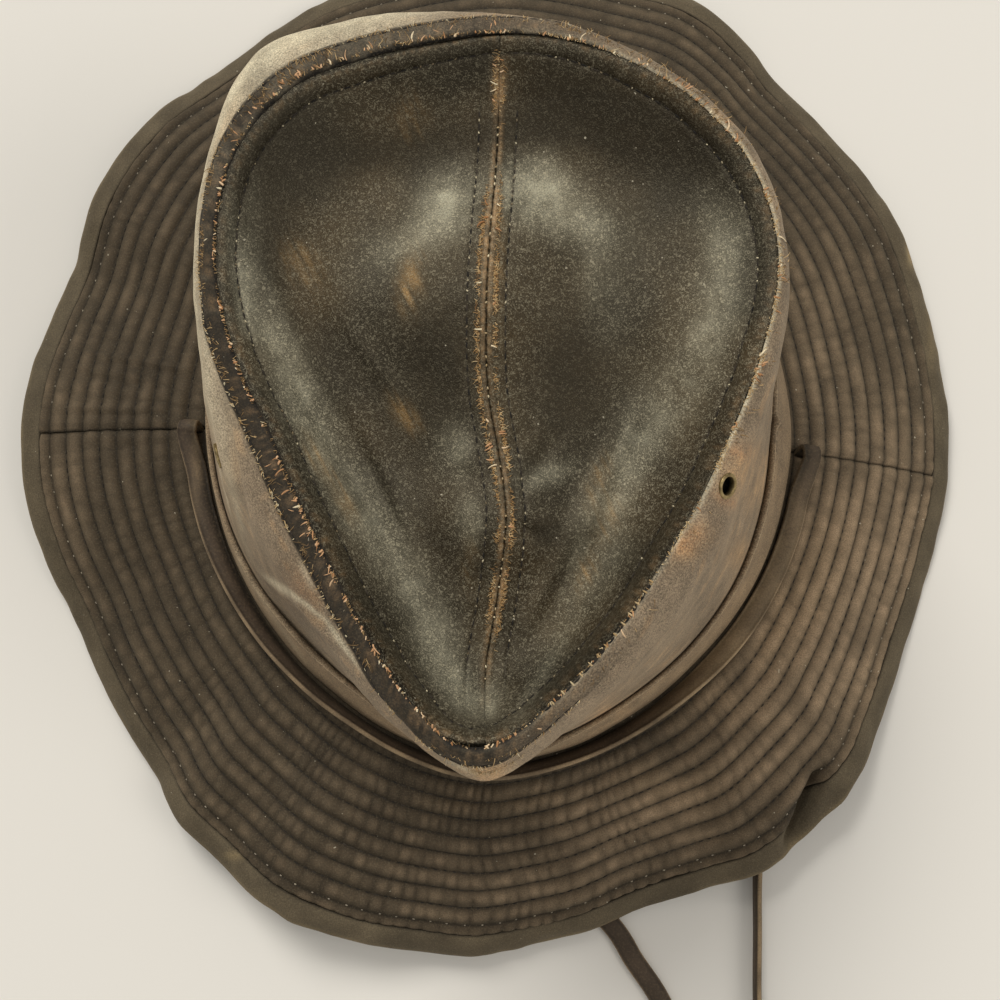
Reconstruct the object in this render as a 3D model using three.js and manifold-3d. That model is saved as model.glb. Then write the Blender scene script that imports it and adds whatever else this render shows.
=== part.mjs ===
// A bush hat of waxed cotton, lying by itself on its drooping, quilted brim.
// Millimetres, +Z up, the hat's front toward -Y. The cloth is worked out round the middle
// of the head opening, level with the crown's foot. The hat is then leaned and lowered
// until its edge rests on the floor at Z = 0, and centred on its own outline.
import * as THREE from 'three';
import { mergeVertices } from 'three/addons/utils/BufferGeometryUtils.js';
import Module from 'manifold-3d';

// Crown: the half sizes are taken on the outside of the cloth.
const footHalfWidth = 88;
const footHalfLength = 102;
const shoulderHalfWidth = 74;
const shoulderHalfLength = 96;
const tipHalfWidth = 70;
const tipHalfLength = 90;
const crownHeight = 105;
const shoulderDrop = 13;
const crownCloth = 1.6;
const tipDip = 27;
const frontPinchShift = -3;
const seamSwing = 3.4;
const cornerInward = 0.22;
const cornerBelowRim = 1.2;

// Hat band, brim and edge binding.
const bandHeight = 22;
const bandCloth = 1.3;
const bandAboveFoot = 1.2;
const brimWidth = 70;
const brimCloth = 2.4;
const bindingWidth = 8;
const bindingThickness = 3;
const brimStartSlope = 0.55;
const contactStrip = 2.2;
const flattened = 1.2;

// How the hat lies: turned about its width and about its length, in degrees.
const leanAboutWidth = -1.84;
const leanAboutLength = -1.05;

// Chin strap, its slits beside the crown, and the eyelets in the crown's side.
const strapWidth = 6.2;
const strapThickness = 2;
const strapBevel = 0.45;
const strapOffBrim = 0.45;
const slitFromBand = 1.6;
const slitEase = 0.6;
const slitCornerWidth = 0.4;
const eyeletOutside = 7;
const eyeletBore = 4.4;
const eyeletFlange = 0.9;
const eyeletFlangeEdge = 0.45;
const eyeletSeat = 0.8;
const eyeletUnderTip = 0.4;
const barrelWall = 0.5;

// Seam gap between touching pieces.
const gap = 0.3;

// Turn runs in degrees from the wearer's right, against the clock: 90 is the back, 270
// the front. Each level of the crown is an oval of its own half sizes, and the four
// columns are the shares of those half sizes that the cloth reaches at that turn.
const crownRows = [
  { turn: 0, foot: 1.0, band: 0.9, shoulder: 0.95, rim: 0.91 },
  { turn: 15, foot: 1.0, band: 0.93, shoulder: 1.03, rim: 1.01 },
  { turn: 30, foot: 1.015, band: 0.965, shoulder: 1.05, rim: 1.035 },
  { turn: 45, foot: 1.03, band: 0.99, shoulder: 1.02, rim: 1.0 },
  { turn: 60, foot: 1.045, band: 1.0, shoulder: 0.98, rim: 0.955 },
  { turn: 75, foot: 1.05, band: 1.005, shoulder: 0.965, rim: 0.93 },
  { turn: 90, foot: 1.06, band: 1.015, shoulder: 0.965, rim: 0.916 },
  { turn: 105, foot: 1.05, band: 1.02, shoulder: 1.01, rim: 0.92 },
  { turn: 120, foot: 1.045, band: 1.02, shoulder: 1.1, rim: 0.97 },
  { turn: 135, foot: 1.035, band: 1.025, shoulder: 1.22, rim: 1.06 },
  { turn: 150, foot: 1.015, band: 1.0, shoulder: 1.17, rim: 1.095 },
  { turn: 165, foot: 1.005, band: 0.975, shoulder: 1.09, rim: 1.035 },
  { turn: 180, foot: 1.0, band: 0.96, shoulder: 1.01, rim: 0.925 },
  { turn: 195, foot: 0.975, band: 0.94, shoulder: 0.955, rim: 0.825 },
  { turn: 210, foot: 0.95, band: 0.91, shoulder: 0.92, rim: 0.795 },
  { turn: 225, foot: 0.93, band: 0.88, shoulder: 0.91, rim: 0.81 },
  { turn: 240, foot: 0.92, band: 0.875, shoulder: 0.945, rim: 0.875 },
  { turn: 255, foot: 0.93, band: 0.905, shoulder: 1.005, rim: 0.985 },
  { turn: 263, foot: 0.94, band: 0.93, shoulder: 1.05, rim: 1.05 },
  { turn: 270, foot: 0.945, band: 0.94, shoulder: 1.08, rim: 1.06 },
  { turn: 277, foot: 0.94, band: 0.93, shoulder: 1.04, rim: 1.015 },
  { turn: 285, foot: 0.935, band: 0.91, shoulder: 0.98, rim: 0.95 },
  { turn: 300, foot: 0.93, band: 0.89, shoulder: 0.92, rim: 0.857 },
  { turn: 315, foot: 0.935, band: 0.89, shoulder: 0.885, rim: 0.8 },
  { turn: 330, foot: 0.955, band: 0.895, shoulder: 0.87, rim: 0.797 },
  { turn: 345, foot: 0.98, band: 0.895, shoulder: 0.89, rim: 0.83 },
];

// The brim's edge: how far out of the crown's foot it lies and how far below it, as
// shares of the brim's width.
const brimRows = [
  { turn: 8, reach: 0.855, drop: 0.457 },
  { turn: 18, reach: 0.87, drop: 0.43 },
  { turn: 28, reach: 0.886, drop: 0.4 },
  { turn: 39, reach: 0.87, drop: 0.43 },
  { turn: 50, reach: 0.87, drop: 0.443 },
  { turn: 56, reach: 0.9, drop: 0.37 },
  { turn: 64, reach: 0.925, drop: 0.3 },
  { turn: 74, reach: 0.905, drop: 0.35 },
  { turn: 88, reach: 0.9, drop: 0.37 },
  { turn: 101, reach: 0.9, drop: 0.375 },
  { turn: 114, reach: 0.905, drop: 0.35 },
  { turn: 126, reach: 0.893, drop: 0.39 },
  { turn: 132, reach: 0.9, drop: 0.36 },
  { turn: 141, reach: 0.93, drop: 0.27 },
  { turn: 151, reach: 0.934, drop: 0.265 },
  { turn: 159, reach: 0.9, drop: 0.36 },
  { turn: 165, reach: 0.91, drop: 0.34 },
  { turn: 173, reach: 0.93, drop: 0.285 },
  { turn: 182, reach: 0.926, drop: 0.295 },
  { turn: 191, reach: 0.89, drop: 0.385 },
  { turn: 198, reach: 0.85, drop: 0.47 },
  { turn: 205, reach: 0.847, drop: 0.478 },
  { turn: 212, reach: 0.85, drop: 0.47 },
  { turn: 219, reach: 0.86, drop: 0.455 },
  { turn: 225, reach: 0.905, drop: 0.355 },
  { turn: 232, reach: 0.91, drop: 0.34 },
  { turn: 241, reach: 0.94, drop: 0.245 },
  { turn: 249, reach: 0.922, drop: 0.3 },
  { turn: 255, reach: 0.9, drop: 0.36 },
  { turn: 261, reach: 0.872, drop: 0.43 },
  { turn: 268, reach: 0.86, drop: 0.45 },
  { turn: 276, reach: 0.83, drop: 0.5 },
  { turn: 283, reach: 0.82, drop: 0.485 },
  { turn: 290, reach: 0.8, drop: 0.505 },
  { turn: 295, reach: 0.815, drop: 0.505 },
  { turn: 301, reach: 0.857, drop: 0.455 },
  { turn: 307, reach: 0.914, drop: 0.33 },
  { turn: 316, reach: 0.903, drop: 0.355 },
  { turn: 323, reach: 0.9, drop: 0.365 },
  { turn: 328, reach: 0.864, drop: 0.443 },
  { turn: 339, reach: 0.81, drop: 0.536 },
  { turn: 349, reach: 0.81, drop: 0.536 },
  { turn: 359, reach: 0.84, drop: 0.486 },
];

// The tip from the back rim to the front point: the hollow under the rim at the centre
// seam and halfway out to the rim, as shares of the dip, and the seam's sideways swing.
const tipRows = [
  { along: 0, seam: 0.0, side: 0.0, swing: 0 },
  { along: 0.08, seam: 0.36, side: 0.38, swing: -0.1 },
  { along: 0.17, seam: 0.5, side: 0.62, swing: -0.3 },
  { along: 0.27, seam: 0.34, side: 0.56, swing: -0.7 },
  { along: 0.38, seam: 0.28, side: 0.52, swing: -1.0 },
  { along: 0.5, seam: 0.5, side: 0.74, swing: -0.9 },
  { along: 0.6, seam: 0.62, side: 0.86, swing: 0 },
  { along: 0.68, seam: 0.55, side: 0.84, swing: 0.5 },
  { along: 0.78, seam: 0.84, side: 0.92, swing: 0.1 },
  { along: 0.88, seam: 0.92, side: 0.86, swing: -0.5 },
  { along: 0.95, seam: 0.6, side: 0.5, swing: -0.3 },
  { along: 1, seam: 0.0, side: 0.0, swing: 0 },
];

// The strap from the left slit round the front to the right one: how far it leans up
// from the brim, in degrees, and how far off the band it stands, as a share of its width.
const strapRows = [
  { turn: 178, lean: 12, off: 0.35 },
  { turn: 190, lean: 25, off: 0.2 },
  { turn: 205, lean: 52, off: 0.15 },
  { turn: 222, lean: 68, off: 0.2 },
  { turn: 245, lean: 74, off: 0.25 },
  { turn: 270, lean: 76, off: 0.3 },
  { turn: 296, lean: 72, off: 0.25 },
  { turn: 312, lean: 52, off: 0.2 },
  { turn: 326, lean: 26, off: 0.2 },
  { turn: 342, lean: 14, off: 0.25 },
  { turn: 358, lean: 8, off: 0.35 },
];

// The free strap on the floor, from under the left slit round to under the right one:
// places on the floor, the height of the strap's middle and the tilt of its flat face,
// in degrees from lying flat.
const loopRows = [
  { x: -95, y: -22, z: 15, tilt: 14 },
  { x: -93, y: -37, z: 4.6, tilt: 4 },
  { x: -85, y: -53, z: 1.4, tilt: 0 },
  { x: -72, y: -70, z: 1.3, tilt: 0 },
  { x: -53, y: -87, z: 1.3, tilt: 0 },
  { x: -30, y: -102, z: 1.3, tilt: 0 },
  { x: -7, y: -116, z: 1.3, tilt: 0 },
  { x: 16, y: -131, z: 1.3, tilt: 0 },
  { x: 35, y: -148, z: 1.3, tilt: 0 },
  { x: 43, y: -160, z: 1.3, tilt: 0 },
  { x: 51, y: -172, z: 1.3, tilt: 0 },
  { x: 57, y: -187, z: 1.3, tilt: 0 },
  { x: 60, y: -203, z: 1.5, tilt: 6 },
  { x: 62, y: -219, z: 2, tilt: 18 },
  { x: 66, y: -234, z: 2.6, tilt: 36 },
  { x: 73, y: -245, z: 3.1, tilt: 56 },
  { x: 82, y: -246, z: 3.4, tilt: 72 },
  { x: 88, y: -236, z: 3.4, tilt: 82 },
  { x: 88, y: -220, z: 3.4, tilt: 86 },
  { x: 85, y: -204, z: 3.4, tilt: 86 },
  { x: 82, y: -188, z: 3.4, tilt: 86 },
  { x: 81, y: -172, z: 3.4, tilt: 86 },
  { x: 81.5, y: -152, z: 3.4, tilt: 86 },
  { x: 82, y: -132, z: 3.4, tilt: 82 },
  { x: 84, y: -111, z: 3.3, tilt: 66 },
  { x: 88, y: -91, z: 2.8, tilt: 42 },
  { x: 93, y: -71, z: 2, tilt: 16 },
  { x: 97, y: -52, z: 1.8, tilt: 2 },
  { x: 99, y: -36, z: 5, tilt: 4 },
  { x: 98, y: -21, z: 16, tilt: 14 },
];

// Where the brim's side seams and the eyelets sit, and the named levels of the crown.
const seamTurns = { left: 178, right: 358 };
const eyelets = { left: { turn: 194, level: 1.93 }, right: { turn: 335, level: 2.58 } };
const levelOf = { foot: 0, band: 1, shoulder: 2, rim: 3 };

// How finely the pieces are faceted: turns in degrees, shares across the brim and tip.
const crownStep = 5;
const brimStep = 4;
const sideLevels = [0, 1, 1.5, 2, 2.25, 2.5, 2.75, 3];
const brimMiddleShares = [0.4, 0.64];
const tipShares = [0, 0.22, 0.44, 0.64, 0.8, 0.92, 1];
const eyeletSides = 12;
const eyeletLevelStep = 0.01;
const weldDistance = 1e-4;
const degrees = Math.PI / 180;

// A column of a table that closes on itself, at any turn: a smooth curve through the
// rows whose slope at each row is that of the line between its two neighbours.
function roundValue(rows, column, turn) {
  const count = rows.length;
  const at = (i) => rows[((i % count) + count) % count];
  const angle = (i) => at(i).turn + 360 * Math.floor(i / count);
  const wanted = rows[0].turn + ((((turn - rows[0].turn) % 360) + 360) % 360);
  let low = 0;
  while (low < count - 1 && angle(low + 1) <= wanted) low += 1;
  return smoothBetween(low, wanted, angle, (i) => at(i)[column]);
}

// The same for a table with two ends.
function openValue(rows, key, column, place) {
  const last = rows.length - 1;
  const at = (i) => rows[Math.min(Math.max(i, 0), last)];
  const spot = (i) => at(i)[key] + Math.min(i, 0) + Math.max(i - last, 0);
  let low = 0;
  while (low < last - 1 && spot(low + 1) <= place) low += 1;
  return smoothBetween(low, place, spot, (i) => at(i)[column]);
}

function smoothBetween(low, place, spot, value) {
  const span = spot(low + 1) - spot(low);
  const share = (place - spot(low)) / span;
  const slope = (i) => (value(i + 1) - value(i - 1)) / (spot(i + 1) - spot(i - 1));
  const square = share * share;
  const cube = square * share;
  return value(low) * (2 * cube - 3 * square + 1)
    + slope(low) * span * (cube - 2 * square + share)
    + value(low + 1) * (3 * square - 2 * cube)
    + slope(low + 1) * span * (cube - square);
}

// The front of the crown is pinched a little to one side.
function pinched(point, halfLength) {
  const forward = Math.max(0, -point.y / halfLength);
  point.x += frontPinchShift * forward ** 3;
  return point;
}

// One level of the crown: the oval of its half sizes times the table's share.
function crownRing(column, halfWidth, halfLength, height, turn) {
  const share = roundValue(crownRows, column, turn);
  const x = share * halfWidth * Math.cos(turn * degrees);
  const y = share * halfLength * Math.sin(turn * degrees);
  return pinched(new THREE.Vector3(x, y, height), halfLength);
}

const shoulderHeight = crownHeight - shoulderDrop;
const footPoint = (turn) => crownRing('foot', footHalfWidth, footHalfLength, 0, turn);
const bandPoint = (turn) => crownRing('band', footHalfWidth, footHalfLength, bandHeight, turn);
const shoulderPoint = (turn) => (
  crownRing('shoulder', shoulderHalfWidth, shoulderHalfLength, shoulderHeight, turn));
const rimPoint = (turn) => crownRing('rim', tipHalfWidth, tipHalfLength, crownHeight, turn);

// The crown's side: straight from the foot to the top of the band and on to the
// shoulder, which rolls over to the rim on a curve with one control point.
function sidePoint(turn, level) {
  if (level <= levelOf.band) return footPoint(turn).lerp(bandPoint(turn), level);
  if (level <= levelOf.shoulder) {
    return bandPoint(turn).lerp(shoulderPoint(turn), level - levelOf.band);
  }
  const share = level - levelOf.shoulder;
  const shoulder = shoulderPoint(turn);
  const rim = rimPoint(turn);
  const corner = shoulder.clone().lerp(rim, cornerInward);
  corner.z = crownHeight - cornerBelowRim;
  const rising = shoulder.clone().lerp(corner, share);
  const crossing = corner.clone().lerp(rim, share);
  return rising.lerp(crossing, share);
}

// The brim from the crown's foot, at share 0, to its edge, at share 1. It leaves the
// crown on its start slope and steepens evenly towards the edge.
function brimPoint(turn, share) {
  const foot = footPoint(turn);
  const outward = new THREE.Vector3(foot.x, foot.y, 0).normalize();
  const reach = roundValue(brimRows, 'reach', turn) * brimWidth;
  const drop = roundValue(brimRows, 'drop', turn) * brimWidth;
  const down = Math.max(share, 0);
  const fall = drop * (brimStartSlope * down + (1 - brimStartSlope) * down * down);
  return foot.addScaledVector(outward, reach * share).setZ(-gap - fall);
}

// Unit vector square to a surface that is given by two numbers, on the side where z,
// or the way out from the middle, is larger.
function faceDirection(surface, turn, level) {
  const turnStep = 0.5;
  const levelStep = 0.01;
  const alongTurn = surface(turn + turnStep, level).sub(surface(turn - turnStep, level));
  const alongLevel = surface(turn, level + levelStep).sub(surface(turn, level - levelStep));
  const direction = alongTurn.cross(alongLevel).normalize();
  const outward = surface(turn, level).setZ(0).normalize().add(new THREE.Vector3(0, 0, 1));
  return direction.dot(outward) < 0 ? direction.negate() : direction;
}

// A point of a surface, moved off it by a distance along its face direction.
function offSurface(surface, turn, level, distance) {
  const direction = faceDirection(surface, turn, level);
  return surface(turn, level).addScaledVector(direction, distance);
}

// A closed solid from two faces of one sheet, outer and inner, over a grid of columns
// and rows. A ring's last column is its first.
function sheetSolid(columns, rows, outer, inner, isRing) {
  const positions = [];
  const faces = [];
  const perFace = columns.length * rows.length;
  for (const face of [outer, inner]) {
    for (const column of columns) {
      for (const row of rows) positions.push(...face(column, row).toArray());
    }
  }
  const index = (face, i, j) => face * perFace + (i % columns.length) * rows.length + j;
  const quad = (a, b, c, d) => faces.push(a, b, c, a, c, d);
  const quadTurned = (a, b, c, d) => faces.push(a, c, b, a, d, c);
  const spans = isRing ? columns.length : columns.length - 1;
  const lastRow = rows.length - 1;
  for (let i = 0; i < spans; i += 1) {
    for (let j = 0; j < lastRow; j += 1) {
      quad(index(0, i, j), index(0, i + 1, j), index(0, i + 1, j + 1), index(0, i, j + 1));
      quadTurned(index(1, i, j), index(1, i + 1, j), index(1, i + 1, j + 1), index(1, i, j + 1));
    }
    quad(index(1, i, 0), index(1, i + 1, 0), index(0, i + 1, 0), index(0, i, 0));
    quad(index(0, i, lastRow), index(0, i + 1, lastRow), index(1, i + 1, lastRow), index(1, i, lastRow));
  }
  if (!isRing) {
    for (let j = 0; j < lastRow; j += 1) {
      quad(index(0, 0, j), index(0, 0, j + 1), index(1, 0, j + 1), index(1, 0, j));
      quad(index(1, spans, j), index(1, spans, j + 1), index(0, spans, j + 1), index(0, spans, j));
    }
  }
  const geometry = new THREE.BufferGeometry();
  geometry.setAttribute('position', new THREE.Float32BufferAttribute(positions, 3));
  geometry.setIndex(faces);
  return facedOutward(geometry);
}

// Turns every face round when the solid's signed volume is negative.
function facedOutward(geometry) {
  const position = geometry.getAttribute('position');
  const order = geometry.getIndex();
  const corner = (i) => new THREE.Vector3().fromBufferAttribute(position, order.getX(i));
  let volume = 0;
  for (let i = 0; i < order.count; i += 3) {
    volume += corner(i).dot(corner(i + 1).cross(corner(i + 2)));
  }
  if (volume < 0) {
    for (let i = 0; i < order.count; i += 3) {
      const first = order.getX(i);
      order.setX(i, order.getX(i + 1));
      order.setX(i + 1, first);
    }
  }
  geometry.computeVertexNormals();
  return geometry;
}

function stations(first, last, step) {
  const count = Math.round((last - first) / step);
  return Array.from({ length: count + 1 }, (unused, i) => first + (last - first) * i / count);
}

function fullTurn(first, step) {
  return stations(first, first + 360, step).slice(0, -1);
}

// One face of the crown's side, a distance off its outer surface: flat at the foot, and
// ending just short of the rim.
function sideFace(distance) {
  return (turn, level) => {
    if (level === levelOf.foot) return offSurface(sidePoint, turn, level, distance).setZ(0);
    if (level < levelOf.rim) return offSurface(sidePoint, turn, level, distance);
    const rim = sidePoint(turn, level);
    const outward = rim.clone().setZ(0).normalize();
    return rim.addScaledVector(outward, gap).add(new THREE.Vector3(0, 0, distance));
  };
}

function crownSide() {
  return sheetSolid(fullTurn(0, crownStep), sideLevels, sideFace(0), sideFace(-crownCloth), true);
}

// Half of the tip, from the centre seam out to the rim. Its hollow follows the table at
// the seam and halfway out, and closes to nothing at the rim.
const halfwayOut = 0.6;
const rimSteepness = 4;
const seamEndInset = 2;

function tipPoint(side, along, out) {
  const turn = 90 + side * 180 * along;
  const rim = rimPoint(turn);
  const backY = rimPoint(90).y - seamEndInset;
  const frontY = rimPoint(270).y + seamEndInset;
  const seamY = backY + (frontY - backY) * along;
  const seamX = seamCentre(seamY) - side * gap / 2;
  if (along === 0 || along === 1) rim.x = seamX;
  const point = new THREE.Vector3(seamX, seamY, crownHeight).lerp(rim, out);
  return point.setZ(crownHeight - tipHollow(point.y, out));
}

function tipShare(y) {
  const backY = rimPoint(90).y;
  const frontY = rimPoint(270).y;
  return Math.min(Math.max((backY - y) / (backY - frontY), 0), 1);
}

function seamCentre(y) {
  const swing = openValue(tipRows, 'along', 'swing', tipShare(y)) * seamSwing;
  return pinched(new THREE.Vector3(swing, y, 0), tipHalfLength).x;
}

function tipHollow(y, out) {
  const atSeam = openValue(tipRows, 'along', 'seam', tipShare(y));
  const atSide = openValue(tipRows, 'along', 'side', tipShare(y));
  const blend = THREE.MathUtils.smoothstep(out, 0, halfwayOut);
  const hollow = THREE.MathUtils.lerp(atSeam, atSide, blend);
  return tipDip * Math.max(hollow, 0) * (1 - out ** rimSteepness);
}

function tipHalf(side) {
  const columns = stations(0, 1, crownStep / 180);
  const cloth = new THREE.Vector3(0, 0, -crownCloth);
  const top = (along, out) => tipPoint(side, along, out);
  const under = (along, out) => tipPoint(side, along, out).add(cloth);
  return sheetSolid(columns, tipShares, top, under, false);
}

// Hat band: a strip laid on the outside of the crown's foot.
function hatBand() {
  const straight = (turn, level) => footPoint(turn).lerp(bandPoint(turn), level);
  const levels = [bandAboveFoot / bandHeight, 1];
  const face = (distance) => (turn, level) => offSurface(straight, turn, level, distance);
  return sheetSolid(fullTurn(0, crownStep), levels, face(gap + bandCloth), face(gap), true);
}

// Half of the brim between the two side seams. Its inner edge reaches under the crown's
// foot, and near the crown each seam is left open for the strap.
const quiltedShare = 1 - bindingWidth / brimWidth;
const slitStart = gap + bandCloth + slitFromBand;
const slitLength = strapWidth + 2 * slitEase;
const slitHalfOpening = strapThickness / 2 + slitEase;
const slitCorner = slitCornerWidth / brimWidth;

function brimHalf(fromTurn, toTurn) {
  const slitShares = [slitStart, slitStart + slitLength].map((length) => length / brimWidth);
  const edgeShare = quiltedShare - gap / 2 / brimWidth;
  const shares = [-crownCloth / brimWidth, slitShares[0] - slitCorner, slitShares[0],
    slitShares[1], slitShares[1] + slitCorner, ...brimMiddleShares, edgeShare];
  const seamEase = (turn, share) => {
    const inSlit = share >= slitShares[0] && share <= slitShares[1];
    const ease = inSlit ? slitHalfOpening : gap / 2;
    const radius = brimPoint(turn, share).setZ(0).length();
    return ease / radius / degrees;
  };
  const placed = (turn, share) => {
    if (turn === fromTurn) return turn + seamEase(turn, share);
    if (turn === toTurn) return turn - seamEase(turn, share);
    return turn;
  };
  const top = (turn, share) => brimPoint(placed(turn, share), share);
  const under = (turn, share) => offSurface(brimPoint, placed(turn, share), share, -brimCloth);
  return sheetSolid(stations(fromTurn, toTurn, brimStep), shares, top, under, false);
}

// Binding round the brim's edge. Its underside ends in a level strip, flattened where it
// rests on the floor.
const bindingProud = 0.4;

function bindingRing() {
  const innerShare = quiltedShare + gap / 2 / brimWidth;
  const stripShare = 1 - contactStrip / brimWidth;
  const shares = [innerShare, stripShare, 1];
  const top = (turn, share) => {
    const proud = share === 1 ? 0 : bindingProud;
    return offSurface(brimPoint, turn, share, proud);
  };
  const under = (turn, share) => {
    const depth = bindingThickness - bindingProud;
    const point = offSurface(brimPoint, turn, share, -depth);
    if (share === innerShare) return point;
    const edge = brimPoint(turn, 1);
    return point.setZ(edge.z - depth);
  };
  return sheetSolid(fullTurn(seamTurns.right, brimStep), shares, top, under, true);
}

// The height of the tip's underside over an eyelet's inner flange, at the corner that
// points up to the rim.
function tipOverFlange(turn, level) {
  const centre = sidePoint(turn, level);
  const out = faceDirection(sidePoint, turn, level);
  const upward = sidePoint(turn, level + 0.01).sub(centre).normalize();
  const corner = centre.addScaledVector(upward, eyeletOutside / 2)
    .addScaledVector(out, -crownCloth - eyeletSeat - eyeletFlangeEdge);
  const side = corner.x < 0 ? 1 : -1;
  const along = side * (turn < 270 ? turn - 90 : turn - 450) / 180;
  const seam = tipPoint(side, along, 0).setZ(0);
  const across = tipPoint(side, along, 1).setZ(0).distanceTo(seam);
  const share = Math.min(corner.clone().setZ(0).distanceTo(seam) / across, 1);
  return tipPoint(side, along, share).z - crownCloth - corner.z;
}

// The middle of an eyelet on the crown's side, its axis turned square to the cloth. It
// sits at its level, or as far below it as keeps its inner flange clear of the tip.
function eyeletFrame(place) {
  let level = place.level;
  while (level > levelOf.band && tipOverFlange(place.turn, level) < eyeletUnderTip) {
    level -= eyeletLevelStep;
  }
  const centre = sidePoint(place.turn, level);
  const out = faceDirection(sidePoint, place.turn, level);
  const turned = new THREE.Quaternion().setFromUnitVectors(new THREE.Vector3(0, 1, 0), out);
  return new THREE.Matrix4().compose(centre, turned, new THREE.Vector3(1, 1, 1));
}

// Eyelet: a barrel through the crown's side with a flange on each face of the cloth.
function eyelet(place) {
  const bore = eyeletBore / 2;
  const barrel = bore + barrelWall;
  const flange = eyeletOutside / 2;
  const seats = { out: eyeletSeat, in: -crownCloth - eyeletSeat };
  const profile = [
    [bore, seats.in - eyeletFlange], [bore, seats.out + eyeletFlange],
    [flange, seats.out + eyeletFlangeEdge], [flange, seats.out], [barrel, seats.out],
    [barrel, seats.in], [flange, seats.in], [flange, seats.in - eyeletFlangeEdge],
    [bore, seats.in - eyeletFlange],
  ].map(([radius, height]) => new THREE.Vector2(radius, height));
  const ring = mergedPositions(new THREE.LatheGeometry(profile, eyeletSides));
  return facedOutward(ring).applyMatrix4(eyeletFrame(place));
}

function eyeletHole(place) {
  const radius = eyeletBore / 2 + barrelWall + gap;
  const length = 2 * eyeletOutside;
  const drill = new THREE.CylinderGeometry(radius, radius, length, eyeletSides);
  return mergedPositions(drill).applyMatrix4(eyeletFrame(place));
}

function mergedPositions(geometry) {
  geometry.deleteAttribute('normal');
  geometry.deleteAttribute('uv');
  return mergeVertices(geometry, weldDistance);
}

// Cutting of one closed mesh by others.
const solids = await Module();
solids.setup();

function asSolid(geometry) {
  return new solids.Manifold(new solids.Mesh({
    numProp: 3,
    vertProperties: new Float32Array(geometry.getAttribute('position').array),
    triVerts: new Uint32Array(geometry.getIndex().array),
  }));
}

function cutBy(geometry, cutters) {
  const cut = (solid, cutter) => solid.subtract(asSolid(cutter));
  const mesh = cutters.reduce(cut, asSolid(geometry)).getMesh();
  const result = new THREE.BufferGeometry();
  result.setAttribute('position', new THREE.BufferAttribute(mesh.vertProperties, 3));
  result.setIndex(new THREE.BufferAttribute(mesh.triVerts, 1));
  result.computeVertexNormals();
  return result;
}

// How the hat comes to rest: the lean, and the height that brings the binding's lowest
// stretch a little into the floor, where the cloth flattens.
const lean = new THREE.Matrix4().makeRotationFromEuler(
  new THREE.Euler(leanAboutWidth * degrees, leanAboutLength * degrees, 0, 'YXZ'));

function restMatrix() {
  const edge = bindingRing().applyMatrix4(lean);
  edge.computeBoundingBox();
  const rise = -edge.boundingBox.min.z - flattened;
  return new THREE.Matrix4().makeTranslation(0, 0, rise).multiply(lean);
}

const rest = restMatrix();
const laid = (geometry) => geometry.applyMatrix4(rest);

function flattenedOnFloor(geometry) {
  const position = geometry.getAttribute('position');
  for (let i = 0; i < position.count; i += 1) {
    position.setZ(i, Math.max(position.getZ(i), 0));
  }
  return geometry;
}

// A flat strap's way through space: its middle line, and at each place the direction
// across its flat face. Cross sections stand evenly by place, not by length, so that
// the close places of a bend keep theirs.
class StrapRoute extends THREE.CatmullRomCurve3 {
  constructor(places) {
    super(places.map((place) => place.middle), false, 'centripetal');
    this.across = places.map((place) => place.across);
  }

  getUtoTmapping(share) {
    return share;
  }

  acrossAt(share) {
    const spot = share * (this.across.length - 1);
    const low = Math.min(Math.floor(spot), this.across.length - 2);
    return this.across[low].clone().lerp(this.across[low + 1], spot - low).normalize();
  }

  computeFrenetFrames(segments) {
    const frames = { tangents: [], normals: [], binormals: [] };
    for (let i = 0; i <= segments; i += 1) {
      const tangent = this.getTangent(i / segments);
      const faceUp = this.acrossAt(i / segments).cross(tangent).normalize();
      frames.tangents.push(tangent);
      frames.normals.push(tangent.clone().cross(faceUp));
      frames.binormals.push(faceUp);
    }
    return frames;
  }
}

// The strap's section: a flat strip with its four edges taken off.
function strapSection() {
  const side = strapWidth / 2;
  const face = strapThickness / 2;
  return new THREE.Shape([
    [side, -face + strapBevel], [side, face - strapBevel], [side - strapBevel, face],
    [-side + strapBevel, face], [-side, face - strapBevel], [-side, -face + strapBevel],
    [-side + strapBevel, -face], [side - strapBevel, -face],
  ].map(([x, y]) => new THREE.Vector2(x, y)));
}

function strapAlong(places, sectionsPerPlace) {
  const steps = (places.length - 1) * sectionsPerPlace;
  const settings = { steps, extrudePath: new StrapRoute(places), bevelEnabled: false };
  return facedOutward(mergedPositions(new THREE.ExtrudeGeometry(strapSection(), settings)));
}

// Directions at a place on the brim: along the turn, out along the brim, and off it.
function brimFrame(turn, share) {
  const step = 0.01;
  const out = brimPoint(turn, share + step).sub(brimPoint(turn, share)).normalize();
  const off = faceDirection(brimPoint, turn, share);
  return { middle: brimPoint(turn, share), out, off, along: off.clone().cross(out) };
}

// How the strap comes up through a slit and arches back and over: forward of the slit
// and up from the brim, as shares of its thickness. Beyond the arch, at the first turn
// of the lay, it lies on the brim.
const archPlaces = [
  { forward: 0, up: -1.2 }, { forward: 0, up: -0.3 }, { forward: -0.55, up: 0.9 },
  { forward: -0.6, up: 1.9 }, { forward: 0.3, up: 2.4 }, { forward: 1.7, up: 2 },
];
const layStart = 7;
const layStep = 4.5;

function slitFrame(turn) {
  return brimFrame(turn, (slitStart + slitLength / 2) / brimWidth);
}

function archAt(turn, direction) {
  const frame = slitFrame(turn);
  return archPlaces.map(({ forward, up }) => {
    const middle = frame.middle.clone()
      .addScaledVector(frame.along, forward * strapThickness * direction)
      .addScaledVector(frame.off, up * strapThickness);
    return { middle, across: frame.out };
  });
}

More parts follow.
